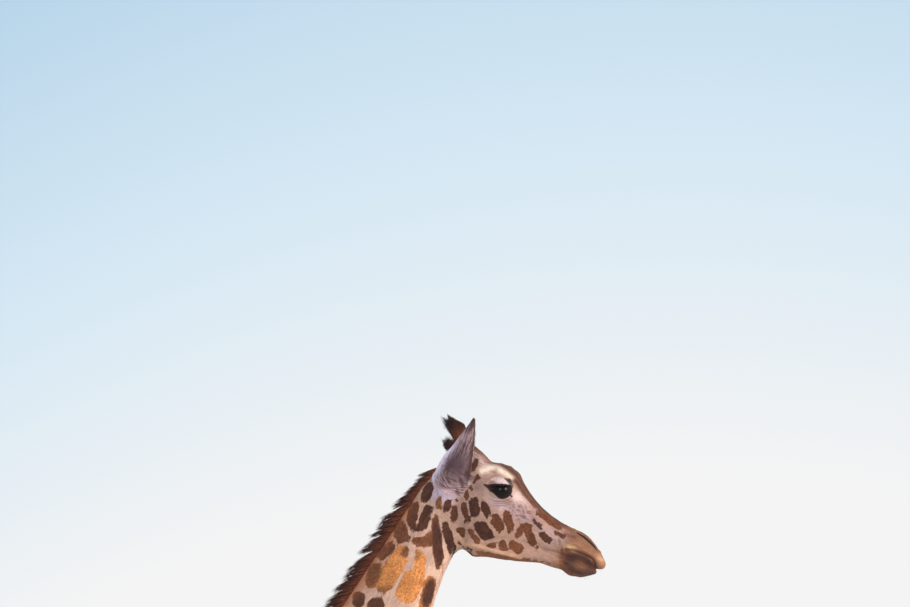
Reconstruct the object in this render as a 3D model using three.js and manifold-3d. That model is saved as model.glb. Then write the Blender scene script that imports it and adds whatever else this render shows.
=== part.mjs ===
// A life-size young giraffe, standing, as one group of named closed meshes.
// Millimetres, +Z up, the animal faces +X and its left side is +Y.
// Every body part is a loft of rings through stations. The flesh is joined
// into one solid and then parted with thin flat cuts, so the parts meet cleanly.

import * as THREE from "three";
import { mergeVertices } from "three/addons/utils/BufferGeometryUtils.js";
import Module from "manifold-3d";

const wasm = await Module();
wasm.setup();

// ---------------------------------------------------------------- dimensions

const GAP = 0.3; // between touching parts

// Heights of the joints above the floor
const WITHERS = 1665;
const CROUP = 1470;
const BELLY = 1090;
const ELBOW = 1100;
const STIFLE = 1010;
const KNEE = 625;
const HOCK = 735;
const FETLOCK = 175;
const CORONET = 66;

// The head: its own frame starts at the nape, u runs to the lips, v up
const NAPE = { x: 690, z: 2432 };
const HEAD_PITCH = THREE.MathUtils.degToRad(28.4);
const MOUTH_LINE = { fromU: 300, fromV: -42, toU: 460, toV: -16 };
const MUZZLE_AT = 300;

// Eyes, in the head's frame
const EYE = { u: 167, v: 30, out: 67, radius: 28 };

// Ears: root and tip of the left one, and which way its hollow faces
const EAR = {
  root: [727, 58, 2364],
  tip: [792, 121, 2552],
  hollow: [0.62, -0.78, 0],
};

// Ossicones: where they leave the skull, how far they stand and lean
const OSSICONE = { x: 768, out: 35, z: 2467, length: 42, radius: 15 };
const OSSICONE_LEAN = THREE.MathUtils.degToRad(-16);
const OSSICONE_SPLAY = THREE.MathUtils.degToRad(7);
const TUFT_LENGTH = 54;

// Feet: distance of each leg from the middle, and the stance along the body
const FRONT_TRACK = 105;
const HIND_TRACK = 100;
const STANCE = { front_left: -34, front_right: 16, hind_left: 62, hind_right: -24 };
const STANCE_TOP = 1080; // legs start to step from here down

// One claw of a hoof: how far toe and heel pass the foot's last station, how
// much they draw in up to the coronet, half the width there and its loss, how
// much the toe turns in, the cleft and the coronet's fall from toe to heel
const CLAW = {
  toe: 6, toeRake: 22, heel: 3, heelRake: 6, half: 25.5, taper: 3.5,
  point: 0.42, heights: [0, 4, 34, CORONET, CORONET + 30], cleft: 3, slope: 0.34,
};

// Planes that part the flesh
const LEG_TOP = 1046;
const BELOW_KNEE = 70;
const BELOW_HOCK = 95;
const ABOVE_FETLOCK = 38;
const NECK_BASE_ROW = 1.9; // of the neck's stations
const NECK_CUT_ROWS = [4.4, 6.6];
const HEAD_CUT = { nape: [650, 2384], throat: [752, 2230] };
const CHEST_AT = 60;
const LOIN_AT = -225;

// Corners in each ring, and rings in each loft
const SIDES = { trunk: 18, neck: 14, head: 20, jaw: 14, leg: 10, hoof: 8, tail: 6, mane: 4, turned: 8 };
const RINGS = { trunk: 18, neck: 14, head: 24, jaw: 12, leg: 20, tail: 8, tuft: 7, ear: 10 };
const EAR_STEPS = 4; // across half the ear

// ------------------------------------------------------------------ stations
// A station is [crest x, crest z, keel x, keel z, half width, egg].
// The crest and keel are the two ends of the ring in the middle plane; egg
// above 0 makes the ring wider at the crest, below 0 wider at the keel.

const upright = (x, top, bottom, half, egg) => [x, top, x, bottom, half, egg];
const level = (z, front, back, half, egg = 0) => [front, z, back, z, half, egg];

const TRUNK = [
  upright(-574, 1310, 1215, 30, 0),
  upright(-556, 1372, 1150, 92, 0),
  upright(-505, 1425, BELLY + 5, 142, 0.08),
  upright(-420, CROUP - 8, BELLY - 20, 166, 0.08),
  upright(-320, CROUP + 12, BELLY - 6, 174, 0.0),
  upright(-200, CROUP + 34, BELLY, 186, -0.1),
  upright(-80, CROUP + 68, BELLY - 8, 196, -0.14),
  upright(30, 1592, BELLY - 4, 190, -0.2),
  upright(120, 1647, BELLY + 10, 172, -0.28),
  upright(205, WITHERS - 12, BELLY + 24, 158, -0.3),
  upright(290, 1600, BELLY + 40, 148, -0.2),
  upright(370, 1530, BELLY + 80, 128, -0.1),
  upright(432, 1450, BELLY + 140, 92, 0),
  upright(462, 1385, BELLY + 200, 34, 0),
];

const NECK = [
  [40, 1530, 330, 1180, 96, 0],
  [112, 1628, 428, 1330, 116, -0.1],
  [176, 1690, 470, 1462, 102, 0],
  [245, 1783, 520, 1600, 88, 0.04],
  [330, 1904, 570, 1752, 75, 0.04],
  [412, 2022, 618, 1888, 65, 0.02],
  [489, 2133, 661, 2013, 58, 0],
  [548, 2222, 698, 2118, 53, 0],
  [604, 2306, 732, 2217, 50, 0],
  [650, 2376, 757, 2238, 50, 0],
  [690, 2424, 800, 2262, 52, 0],
  [724, 2440, 824, 2320, 40, 0],
];

const FRONT_LEG = [
  level(1380, 372, 150, 30),
  level(1300, 402, 118, 62),
  level(1200, 392, 104, 72),
  level(ELBOW, 345, 106, 70),
  level(ELBOW - 90, 318, 152, 60),
  level(ELBOW - 210, 304, 187, 49),
  level(KNEE + 130, 296, 206, 41),
  level(KNEE + 50, 298, 206, 42),
  level(KNEE, 300, 208, 43),
  level(KNEE - 55, 289, 214, 38),
  level(KNEE - 135, 278, 219, 28),
  level(KNEE - 290, 274, 220, 26),
  level(FETLOCK + 55, 277, 217, 29),
  level(FETLOCK + 5, 286, 206, 35),
  level(FETLOCK - 42, 288, 213, 33),
  level(CORONET + 26, 301, 214, 39),
  level(CORONET, 312, 211, 44),
  level(20, 330, 207, 50),
];

const HIND_LEG = [
  level(1400, -270, -520, 40),
  level(1340, -228, -556, 66),
  level(1240, -208, -574, 84),
  level(1130, -222, -566, 86),
  level(STIFLE, -252, -538, 75),
  level(STIFLE - 95, -322, -520, 58),
  level(HOCK + 85, -392, -526, 44),
  level(HOCK + 12, -432, -557, 37),
  level(HOCK - 55, -444, -548, 38),
  level(HOCK - 130, -447, -524, 33),
  level(HOCK - 230, -450, -512, 28),
  level(HOCK - 400, -448, -504, 27),
  level(FETLOCK + 60, -445, -504, 30),
  level(FETLOCK + 8, -435, -512, 35),
  level(FETLOCK - 42, -430, -505, 33),
  level(CORONET + 26, -416, -504, 38),
  level(CORONET, -405, -507, 43),
  level(20, -388, -511, 49),
];

// Head stations, in the head's frame
const SKULL = [
  [4, -6, 36, -72, 26, 0],
  [12, 24, 66, -92, 48, 0],
  [24, 62, 98, -106, 60, 0.05],
  [52, 93, 130, -112, 70, 0.1],
  [90, 90, 156, -113, 78, 0.14],
  [124, 82, 180, -112, 84, 0.2],
  [156, 85, 205, -106, 83, 0.24],
  [186, 86, 229, -98, 74, 0.22],
  [213, 74, 250, -88, 62, 0.16],
  [240, 60, 273, -75, 53, 0.1],
  [270, 48, 297, -63, 47, 0.04],
  [305, 40, 323, -53, 43, 0],
  [340, 37, 350, -45, 42, -0.04],
  [376, 38, 381, -37, 44, -0.06],
  [406, 35, 409, -30, 45, -0.06],
  [431, 27, 433, -24, 42, -0.04],
  [451, 16, 452, -20, 33, 0],
  [466, 5, 464, -17, 20, 0],
  [473, -3, 471, -12, 7, 0],
];

const JAW = [
  [112, -30, 140, -118, 34, 0],
  [140, -20, 158, -134, 50, 0],
  [175, -20, 184, -137, 53, 0],
  [212, -30, 216, -122, 48, 0],
  [250, -38, 252, -110, 41, 0],
  [290, -38, 292, -91, 35, 0],
  [330, -32, 332, -73, 31, 0],
  [368, -26, 370, -67, 30, 0],
  [404, -23, 406, -65, 32, 0],
  [432, -20, 434, -57, 31, 0],
  [450, -19, 452, -42, 24, 0],
  [459, -22, 460, -30, 9, 0],
];

// Swellings on the skull: [u, v, out, radius, how far they stand]
const SWELLINGS = [
  [162, 94, 0, 31, 18], // boss in the middle of the forehead
  [160, 58, 74, 30, 7], // brow over the eye
  [190, 4, 72, 30, 3], // cheekbone under the eye
  [384, 16, 40, 24, 4], // nostril
  [180, -78, 56, 46, 6], // cheek muscle
  [64, 86, 35, 36, 11], // skull under the ossicones
];

const TAIL = [
  [-520, 1416, -500, 1372, 26, 0],
  [-556, 1398, -540, 1356, 24, 0],
  [-588, 1366, -560, 1338, 19, 0],
  [-606, 1310, -574, 1302, 15.5, 0],
  [-612, 1230, -586, 1228, 12.5, 0],
  [-612, 1140, -590, 1140, 10.5, 0],
  [-611, 1050, -592, 1050, 9, 0],
  [-611, 962, -593, 962, 8.5, 0],
];
const TAIL_CUT = 975;

const TAIL_TUFT = [
  [-611, 985, -593, 985, 10, 0],
  [-620, 940, -585, 940, 17, 0],
  [-628, 880, -582, 880, 22, 0],
  [-628, 820, -582, 820, 22, 0],
  [-620, 762, -588, 762, 15, 0],
  [-608, 716, -600, 716, 4, 0],
];

// The mane: how far it stands off the crest at withers, middle and poll, and
// its locks, whose tips lean down the neck
const MANE = { half: 9, withers: 18, middle: 38, poll: 16, locks: 15, tooth: 6, lean: 20, root: 14 };

// Ear rings from root to tip:
// [share of the length, breadth, cup, thickness, bow of the middle backward]
const EAR_SHAPE = [
  [-0.12, 44, 20, 20, 4],
  [0.0, 66, 28, 15, 10.5],
  [0.1, 98, 33, 11, 22.5],
  [0.25, 104, 31, 9.5, 20],
  [0.4, 92, 25, 9, 16],
  [0.55, 70, 17, 8.5, 9],
  [0.72, 46, 10, 7.5, 4],
  [0.87, 24, 5, 6, 1],
  [0.97, 8, 2, 4, 0],
];

// -------------------------------------------------------------- small helpers

const cos = Math.cos;
const sin = Math.sin;

// Smooth blend through a table of rows, at row number t (not whole)
function rowAt(rows, t) {
  const i = Math.min(Math.floor(t), rows.length - 2);
  const f = t - i;
  const row = (k) => rows[THREE.MathUtils.clamp(k, 0, rows.length - 1)];
  return rows[i].map((_, c) => {
    const [p0, p1, p2, p3] = [row(i - 1)[c], row(i)[c], row(i + 1)[c], row(i + 2)[c]];
    const m1 = (p2 - p0) / 2;
    const m2 = (p3 - p1) / 2;
    const f2 = f * f;
    const f3 = f2 * f;
    return (2 * f3 - 3 * f2 + 1) * p1 + (f3 - 2 * f2 + f) * m1
      + (3 * f2 - 2 * f3) * p2 + (f3 - f2) * m2;
  });
}

// Evenly spread rows through the stations, first and last kept
function refine(rows, count) {
  const spacing = (rows.length - 1) / (count - 1);
  return Array.from({ length: count }, (_, k) => rowAt(rows, k * spacing));
}

// A closed geometry from rings of equal length, with a fan on both ends
function skinRings(rings) {
  const sides = rings[0].length;
  const positions = rings.flat().flatMap((p) => [p.x, p.y, p.z]);
  const middle = (ring) => ring.reduce((s, p) => s.add(p), new THREE.Vector3()).divideScalar(sides);
  const first = rings.length * sides;
  for (const end of [rings[0], rings[rings.length - 1]]) {
    const m = middle(end);
    positions.push(m.x, m.y, m.z);
  }
  const index = [];
  for (let r = 0; r + 1 < rings.length; r++) {
    for (let s = 0; s < sides; s++) {
      const a = r * sides + s;
      const b = r * sides + ((s + 1) % sides);
      index.push(a, b, b + sides, a, b + sides, a + sides);
    }
  }
  const last = (rings.length - 1) * sides;
  for (let s = 0; s < sides; s++) {
    const n = (s + 1) % sides;
    index.push(first, n, s, first + 1, last + s, last + n);
  }
  const geometry = new THREE.BufferGeometry();
  geometry.setAttribute("position", new THREE.Float32BufferAttribute(positions, 3));
  geometry.setIndex(index);
  return geometry;
}

// Six times the volume inside a geometry, below 0 if it is inside out
function sixVolumes(geometry) {
  const p = geometry.getAttribute("position");
  const [a, b, c] = [new THREE.Vector3(), new THREE.Vector3(), new THREE.Vector3()];
  let sum = 0;
  for (let i = 0; i < geometry.index.count; i += 3) {
    a.fromBufferAttribute(p, geometry.index.getX(i));
    b.fromBufferAttribute(p, geometry.index.getX(i + 1));
    c.fromBufferAttribute(p, geometry.index.getX(i + 2));
    sum += a.dot(b.cross(c));
  }
  return sum;
}

// A solid that can be cut and joined
function solid(source) {
  const bare = source.clone();
  bare.deleteAttribute("normal");
  bare.deleteAttribute("uv");
  const geometry = mergeVertices(bare, 1e-4);
  const triVerts = Uint32Array.from(geometry.index.array);
  if (sixVolumes(geometry) < 0) {
    for (let i = 0; i < triVerts.length; i += 3) {
      [triVerts[i + 1], triVerts[i + 2]] = [triVerts[i + 2], triVerts[i + 1]];
    }
  }
  const vertProperties = Float32Array.from(geometry.getAttribute("position").array);
  return new wasm.Manifold(new wasm.Mesh({ numProp: 3, vertProperties, triVerts }));
}

const join = (solids) => solids.reduce((whole, piece) => whole.add(piece));

// The part of a solid on the side that the normal points to, half a gap off
function beyond(piece, normal, at) {
  const n = new THREE.Vector3(...normal);
  const length = n.length();
  return piece.trimByPlane(n.divideScalar(length).toArray(), at / length + GAP / 2);
}

const flip = (normal) => normal.map((c) => -c);

// Both sides of a plane through a point, [the side it points to, the other]
function part(piece, normal, point) {
  const at = new THREE.Vector3(...normal).dot(new THREE.Vector3(...point));
  return [beyond(piece, normal, at), beyond(piece, flip(normal), -at)];
}

// A power that keeps the sign, for rings between an ellipse and a box
const bulge = (value, power) => Math.sign(value) * Math.abs(value) ** power;

// A loft through stations. place moves each finished point.
function loft(stations, { sides, count, offset = 0, power = 0.94, grow = 0, place = (p) => p }) {
  const rings = refine(stations, count).map(([cx, cz, kx, kz, half, egg]) => {
    const crest = new THREE.Vector3(cx, 0, cz);
    const keel = new THREE.Vector3(kx, 0, kz);
    const middle = crest.clone().add(keel).divideScalar(2);
    const reach = crest.clone().sub(keel).divideScalar(2);
    reach.setLength(reach.length() + grow);
    const ring = [];
    for (let s = 0; s < sides; s++) {
      const angle = (2 * Math.PI * s) / sides;
      const along = bulge(cos(angle), power);
      const across = bulge(sin(angle), power) * (half + grow) * (1 + egg * along);
      const p = middle.clone().addScaledVector(reach, along);
      p.y = offset + across;
      ring.push(place(p));
    }
    return ring;
  });
  return solid(skinRings(rings));
}

// ---------------------------------------------------------------------- head

const headMatrix = new THREE.Matrix4()
  .makeTranslation(NAPE.x, 0, NAPE.z)
  .multiply(new THREE.Matrix4().makeRotationY(HEAD_PITCH));

const headPoint = (u, out, v) => new THREE.Vector3(u, out, v).applyMatrix4(headMatrix);

// Pushes a point of the skull out where a swelling lies, then into place
function shapeHead(p) {
  const from = new THREE.Vector3(p.x, 0, -10);
  const outward = p.clone().sub(from).normalize();
  let rise = 0;
  for (const [u, v, out, radius, height] of SWELLINGS) {
    const d2 = (p.x - u) ** 2 + (p.z - v) ** 2 + (Math.abs(p.y) - out) ** 2;
    rise += height * Math.exp(-d2 / (radius * radius));
  }
  return p.addScaledVector(outward, rise).applyMatrix4(headMatrix);
}

function headSolid(grow) {
  const skull = loft(SKULL, { sides: SIDES.head, count: RINGS.head, grow, place: shapeHead });
  const jaw = loft(JAW, { sides: SIDES.jaw, count: RINGS.jaw, grow, place: shapeHead });
  return skull.add(jaw);
}

function eyeball(side, grow) {
  const ball = new THREE.SphereGeometry(EYE.radius + grow, 12, 9);
  const at = headPoint(EYE.u, side * EYE.out, EYE.v);
  ball.rotateX(Math.PI / 2);
  ball.translate(at.x, at.y, at.z);
  return solid(ball);
}

// ---------------------------------------------------------------------- ears

// Rings of a leaf-shaped cup: round the back of the ear, then back inside it
function ear(side) {
  const root = new THREE.Vector3(...EAR.root);
  const tip = new THREE.Vector3(...EAR.tip);
  const along = tip.clone().sub(root);
  const length = along.length();
  along.normalize();
  const hollow = new THREE.Vector3(...EAR.hollow);
  hollow.addScaledVector(along, -hollow.dot(along)).normalize();
  const across = new THREE.Vector3().crossVectors(along, hollow);
  const half = EAR_STEPS;
  const rings = refine(EAR_SHAPE, RINGS.ear).map(([share, breadth, cup, thickness, bow]) => {
    const ring = [];
    const add = (q, depth) => {
      const p = root.clone().addScaledVector(along, share * length);
      p.addScaledVector(across, (q * breadth) / 2 - bow).addScaledVector(hollow, depth);
      p.y *= side;
      ring.push(p);
    };
    const fold = (q) => cup * (q * q - 0.4);
    const wall = (q) => thickness * (0.35 + 0.65 * Math.sqrt(1 - q * q)) * 0.5;
    for (let k = -half; k <= half; k++) add(k / half, fold(k / half) - wall(k / half));
    for (let k = half; k >= -half; k--) add((k / half) * 0.97, fold(k / half) + wall(k / half));
    return ring;
  });
  return solid(skinRings(rings));
}

// ----------------------------------------------------------------- ossicones

function turned(profile, side) {
  const geometry = new THREE.LatheGeometry(profile.map(([r, z]) => new THREE.Vector2(r, z)), SIDES.turned);
  geometry.rotateX(Math.PI / 2);
  geometry.rotateX(-side * OSSICONE_SPLAY);
  geometry.rotateY(OSSICONE_LEAN);
  geometry.translate(OSSICONE.x, side * OSSICONE.out, OSSICONE.z);
  return solid(geometry);
}

const ossicone = (side) => turned([
  [0, -24],
  [OSSICONE.radius + 12, -24],
  [OSSICONE.radius + 6, 6],
  [OSSICONE.radius, OSSICONE.length * 0.55],
  [OSSICONE.radius - 1, OSSICONE.length],
  [0, OSSICONE.length],
], side);

const ossiconeTuft = (side) => turned([
  [0, OSSICONE.length + GAP],
  [OSSICONE.radius + 2, OSSICONE.length + GAP],
  [OSSICONE.radius + 8, OSSICONE.length + 0.25 * TUFT_LENGTH],
  [OSSICONE.radius + 7, OSSICONE.length + 0.55 * TUFT_LENGTH],
  [OSSICONE.radius - 3, OSSICONE.length + 0.82 * TUFT_LENGTH],
  [2, OSSICONE.length + TUFT_LENGTH],
  [0, OSSICONE.length + TUFT_LENGTH],
], side);

// ---------------------------------------------------------------------- mane

// A thin toothed ridge on the crest of the neck, rooted inside it
function maneSolid() {
  const crest = NECK.slice(2);
  const steps = MANE.locks * 2;
  const rows = [];
  for (let k = 0; k <= steps; k++) {
    const share = k / steps;
    const [cx, cz, kx, kz] = rowAt(crest, share * (crest.length - 1));
    const out = new THREE.Vector2(cx - kx, cz - kz).normalize();
    const height = rowAt([[MANE.withers], [MANE.middle], [MANE.poll]], share * 2)[0];
    const isTip = k % 2 === 1;
    const rise = height + (isTip ? MANE.tooth : -MANE.tooth);
    const lean = isTip ? MANE.lean : MANE.lean / 2;
    rows.push([
      cx + out.x * rise - out.y * lean, cz + out.y * rise + out.x * lean,
      cx - out.x * MANE.root, cz - out.y * MANE.root,
      MANE.half, -0.35,
    ]);
  }
  return loft(rows, { sides: SIDES.mane, count: rows.length });
}

// ----------------------------------------------------------------- legs, feet

const LEGS = [
  { name: "front_left", side: 1, track: FRONT_TRACK, stations: FRONT_LEG, spread: 8 },
  { name: "front_right", side: -1, track: FRONT_TRACK, stations: FRONT_LEG, spread: 8 },
  { name: "hind_left", side: 1, track: HIND_TRACK, stations: HIND_LEG, spread: 10 },
  { name: "hind_right", side: -1, track: HIND_TRACK, stations: HIND_LEG, spread: 10 },
];

// How far a leg has stepped along the body at height z, 0 at its top
function step(leg, z) {
  const share = THREE.MathUtils.clamp((STANCE_TOP - z) / STANCE_TOP, 0, 1);
  return STANCE[leg.name] * share;
}

// Moves a leg's point sideways out at the thigh and along with the step
function placeLeg(leg, p) {
  const lift = THREE.MathUtils.smoothstep(p.z, KNEE, ELBOW + 60);
  p.y += leg.side * lift * leg.spread;
  p.x += step(leg, p.z);
  return p;
}

const legSolid = (leg, grow) => loft(leg.stations, {
  sides: SIDES.leg,
  count: RINGS.leg,
  offset: leg.side * leg.track,
  grow,
  place: (p) => placeLeg(leg, p),
});

// One claw of a cloven hoof: rings from the floor up, parted from its twin
function claw(leg, outer) {
  const sole = leg.stations[leg.stations.length - 1];
  const [toe, , heel] = sole;
  const shift = leg.side * leg.track;
  const turn = outer ? leg.side : -leg.side;
  const rings = CLAW.heights.map((z) => {
    const up = z / CORONET;
    const front = toe + CLAW.toe - CLAW.toeRake * up;
    const back = heel - CLAW.heel + CLAW.heelRake * up;
    const half = CLAW.half - CLAW.taper * up;
    const ring = [];
    for (let s = 0; s < SIDES.hoof; s++) {
      const angle = (2 * Math.PI * s) / SIDES.hoof;
      const along = bulge(cos(angle), 0.86);
      const inward = cos(angle) > 0 ? CLAW.point * cos(angle) ** 2 : 0;
      const across = bulge(sin(angle), 0.78) * half * (1 - 0.1 * along);
      const narrow = across - (across > 0 ? across * inward : 0);
      const x = (front + back) / 2 + ((front - back) / 2) * along;
      const y = shift + turn * (half + CLAW.cleft / 2 - 1 + narrow);
      ring.push(new THREE.Vector3(x + step(leg, z), y, z));
    }
    return ring;
  });
  return beyond(solid(skinRings(rings)), [0, turn, 0], turn * shift + CLAW.cleft / 2);
}

// -------------------------------------------------------------- whole animal

function fleshSolid(grow) {
  const pieces = [
    loft(TRUNK, { sides: SIDES.trunk, count: RINGS.trunk, grow }),
    loft(NECK, { sides: SIDES.neck, count: RINGS.neck, grow }),
    headSolid(grow),
    ...LEGS.map((leg) => legSolid(leg, grow)),
  ];
  return join(pieces);
}

const parts = new Map();
const flesh = fleshSolid(0);
const clearOfFlesh = fleshSolid(GAP);

// Legs: off the trunk at one level, then at knee or hock, fetlock and coronet
const [aboveLegs, allLegs] = part(flesh, [0, 0, 1], [0, 0, LEG_TOP]);
for (const leg of LEGS) {
  const front = leg.stations === FRONT_LEG;
  const own = beyond(beyond(allLegs, [front ? 1 : -1, 0, 0], 0), [0, leg.side, 0], 0);
  const kneeZ = front ? KNEE - BELOW_KNEE : HOCK - BELOW_HOCK;
  const [upper, rest] = part(own, [0, 0, 1], [0, 0, kneeZ]);
  const [cannon, foot] = part(rest, [0, 0, 1], [0, 0, FETLOCK + ABOVE_FETLOCK]);
  const toeX = leg.stations[leg.stations.length - 1][0] + STANCE[leg.name];
  const coronet = [[-CLAW.slope, 0, 1], [toeX - CLAW.toeRake, 0, CORONET]];
  parts.set(`${front ? "forearm" : "thigh"}_${leg.name}`, upper);
  parts.set(`cannon_${leg.name}`, cannon);
  parts.set(`pastern_${leg.name}`, part(foot, ...coronet)[0]);
  for (const outer of [true, false]) {
    const name = `hoof_${leg.name}_${outer ? "outer" : "inner"}`;
    parts.set(name, part(claw(leg, outer), ...coronet)[1]);
  }
}

// Neck: its base, two cuts across it and the nape
const across = ([cx, cz], [kx, kz]) => [[cz - kz, 0, kx - cx], [cx, 0, cz]];
const neckPlane = (t) => {
  const [cx, cz, kx, kz] = rowAt(NECK, t);
  return across([cx, cz], [kx, kz]);
};
const [aboveBase, trunk] = part(aboveLegs, ...neckPlane(NECK_BASE_ROW));
const [head, neck] = part(aboveBase, ...across(HEAD_CUT.nape, HEAD_CUT.throat));
const [upperTwo, neckLower] = part(neck, ...neckPlane(NECK_CUT_ROWS[0]));
const [neckUpper, neckMiddle] = part(upperTwo, ...neckPlane(NECK_CUT_ROWS[1]));
parts.set("neck_lower", neckLower);
parts.set("neck_middle", neckMiddle);
parts.set("neck_upper", neckUpper);

// Trunk: chest, barrel and hindquarters
const [chest, behind] = part(trunk, [1, 0, 0], [CHEST_AT, 0, 0]);
const [barrel, hindquarters] = part(behind, [1, 0, 0], [LOIN_AT, 0, 0]);
parts.set("chest", chest);
parts.set("barrel", barrel);
parts.set("hindquarters", hindquarters);

// Head: sockets for the eyes, then the muzzle and under it the lower jaw
const sockets = join([eyeball(1, GAP), eyeball(-1, GAP)]);
const headAxis = headPoint(1, 0, 0).sub(headPoint(0, 0, 0)).toArray();
const mouthFrom = headPoint(MOUTH_LINE.fromU, 0, MOUTH_LINE.fromV);
const mouthRun = headPoint(MOUTH_LINE.toU, 0, MOUTH_LINE.toV).sub(mouthFrom);
const mouthNormal = [-mouthRun.z, 0, mouthRun.x];
const [snout, skull] = part(head.subtract(sockets), headAxis, headPoint(MUZZLE_AT, 0, 0).toArray());
const [muzzle, lowerJaw] = part(snout, mouthNormal, mouthFrom.toArray());
parts.set("head", skull);
parts.set("muzzle", muzzle);
parts.set("lower_jaw", lowerJaw);

// What grows from the flesh, cut clear of it
parts.set("mane", maneSolid().subtract(clearOfFlesh));
const dock = loft(TAIL, { sides: SIDES.tail, count: RINGS.tail }).subtract(clearOfFlesh);
const switchHair = loft(TAIL_TUFT, { sides: SIDES.tail, count: RINGS.tuft });
parts.set("tail", beyond(dock, [0, 0, 1], TAIL_CUT));
parts.set("tail_tuft", beyond(switchHair, [0, 0, -1], -TAIL_CUT));
for (const [hand, side] of [["left", 1], ["right", -1]]) {
  parts.set(`eye_${hand}`, eyeball(side, 0));
  parts.set(`ossicone_${hand}`, ossicone(side).subtract(clearOfFlesh));
  parts.set(`ossicone_tuft_${hand}`, ossiconeTuft(side).subtract(clearOfFlesh));
  parts.set(`ear_${hand}`, ear(side).subtract(clearOfFlesh));
}

// ------------------------------------------------------------------ materials

const FINISHES = [
  [/^hoof/, { color: 0x2a211b, roughness: 0.55 }],
  [/^eye/, { color: 0x0b0808, roughness: 0.08 }],
  [/^(mane|tail_tuft|ossicone_tuft)/, { color: 0x2b1a15, roughness: 0.8 }],
  [/^(cannon|pastern)/, { color: 0xd9c4a3, roughness: 0.85 }],
  [/^ear/, { color: 0x8d7d78, roughness: 0.9 }],
  [/^(muzzle|lower_jaw)/, { color: 0x9a7659, roughness: 0.85 }],
  [/./, { color: 0x9c6b42, roughness: 0.85 }],
];

function finishFor(name) {
  const [, look] = FINISHES.find(([pattern]) => pattern.test(name));
  return new THREE.MeshStandardMaterial({ ...look, metalness: 0 });
}

function meshOf(name, piece) {
  const { vertProperties, triVerts } = piece.getMesh();
  const geometry = new THREE.BufferGeometry();
  geometry.setAttribute("position", new THREE.Float32BufferAttribute(vertProperties, 3));
  geometry.setIndex(Array.from(triVerts));
  geometry.computeVertexNormals();
  const mesh = new THREE.Mesh(geometry, finishFor(name));
  mesh.name = name;
  return mesh;
}

// The origin lies on the floor under the middle of the whole animal
const giraffe = new THREE.Group();
for (const [name, piece] of parts) giraffe.add(meshOf(name, piece));
const bounds = new THREE.Box3().setFromObject(giraffe);
const middle = bounds.getCenter(new THREE.Vector3());
for (const mesh of giraffe.children) mesh.position.set(-middle.x, -middle.y, -bounds.min.z);

export default giraffe;
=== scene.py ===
"""A life-size young giraffe, standing: one skin, a coat of tufts, long hair, eyes, hooves and a studio.

Metres, +Z up, the animal faces +X and its left side is +Y. Each piece is built by one operator.
"""

import math

import bmesh
import bpy
import numpy as np
from bpy.props import FloatProperty, FloatVectorProperty, PointerProperty
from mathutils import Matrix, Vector
from mathutils.bvhtree import BVHTree


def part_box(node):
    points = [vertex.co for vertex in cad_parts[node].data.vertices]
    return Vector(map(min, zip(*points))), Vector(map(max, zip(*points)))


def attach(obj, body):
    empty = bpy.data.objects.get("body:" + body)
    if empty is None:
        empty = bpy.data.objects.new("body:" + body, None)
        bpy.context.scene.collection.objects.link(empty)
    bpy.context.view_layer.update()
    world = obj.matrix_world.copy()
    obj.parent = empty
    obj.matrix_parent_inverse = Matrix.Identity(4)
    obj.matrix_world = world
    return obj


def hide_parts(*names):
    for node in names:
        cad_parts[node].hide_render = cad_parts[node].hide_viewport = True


bl_info = {
    "name": "Young giraffe",
    "version": (1, 0, 0),
    "blender": (4, 5, 0),
    "location": "3D View > Sidebar > Giraffe",
    "description": "Builds a life-size young giraffe and its coat around a packed frame",
    "category": "Add Mesh",
}

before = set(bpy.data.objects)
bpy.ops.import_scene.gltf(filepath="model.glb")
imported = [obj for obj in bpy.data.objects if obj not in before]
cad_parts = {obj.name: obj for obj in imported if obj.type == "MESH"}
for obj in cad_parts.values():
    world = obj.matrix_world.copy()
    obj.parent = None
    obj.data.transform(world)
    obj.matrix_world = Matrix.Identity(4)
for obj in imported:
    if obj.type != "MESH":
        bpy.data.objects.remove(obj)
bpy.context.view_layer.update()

# ------------------------------------------------------------------- sizes and places

# The head has its own frame: u runs from the nape to the lips, v up, out sideways
PITCH = math.radians(28.4)
COS, SIN = math.cos(PITCH), math.sin(PITCH)
EYE_U, EYE_V = 0.167, 0.030
EYE_LOW, EYE_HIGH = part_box("eye_left")
EYE = np.array((EYE_LOW + EYE_HIGH) / 2)
EYE_RADIUS = (EYE_HIGH.z - EYE_LOW.z) / 2
NAPE_X = EYE[0] - EYE_U * COS - EYE_V * SIN
NAPE_Z = EYE[2] + EYE_U * SIN - EYE_V * COS

SIDES = {"left": 1, "right": -1}
LEGS = ("front_left", "front_right", "hind_left", "hind_right")
FLESH = (
    "head", "muzzle", "lower_jaw", "neck", "chest", "barrel", "hindquarters",
    "forearm", "thigh", "cannon", "pastern", "ossicone_left", "ossicone_right",
)
TAIL_NODE = "tail"
OVERLAP = 0.0004  # how far parted nodes grow into each other
WELD = 1e-5  # corners closer than this are one
LID = 0.0032  # thickness of the lids over the eyeball

# Where the fine skin of the head meets the skin of the body, across the neck
NECK_FOOT = np.array([-0.053, 0.0, 1.355])
NECK_HEAD = np.array([0.466, 0.0, 2.322])
NECK_AXIS = (NECK_HEAD - NECK_FOOT) / np.linalg.norm(NECK_HEAD - NECK_FOOT)
SKIN_JOIN = np.array([0.394, 0.0, 2.19])
HEAD_FOOT = 2.0  # all of the head is higher than this
JOIN_GAP = 0.006

# Plane between head and neck, through the nape and the throat
HEAD_PLANE = np.array([0.412, 0.0, 2.384])
HEAD_NORMAL = np.array([0.834, 0.0, 0.552])

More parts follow.
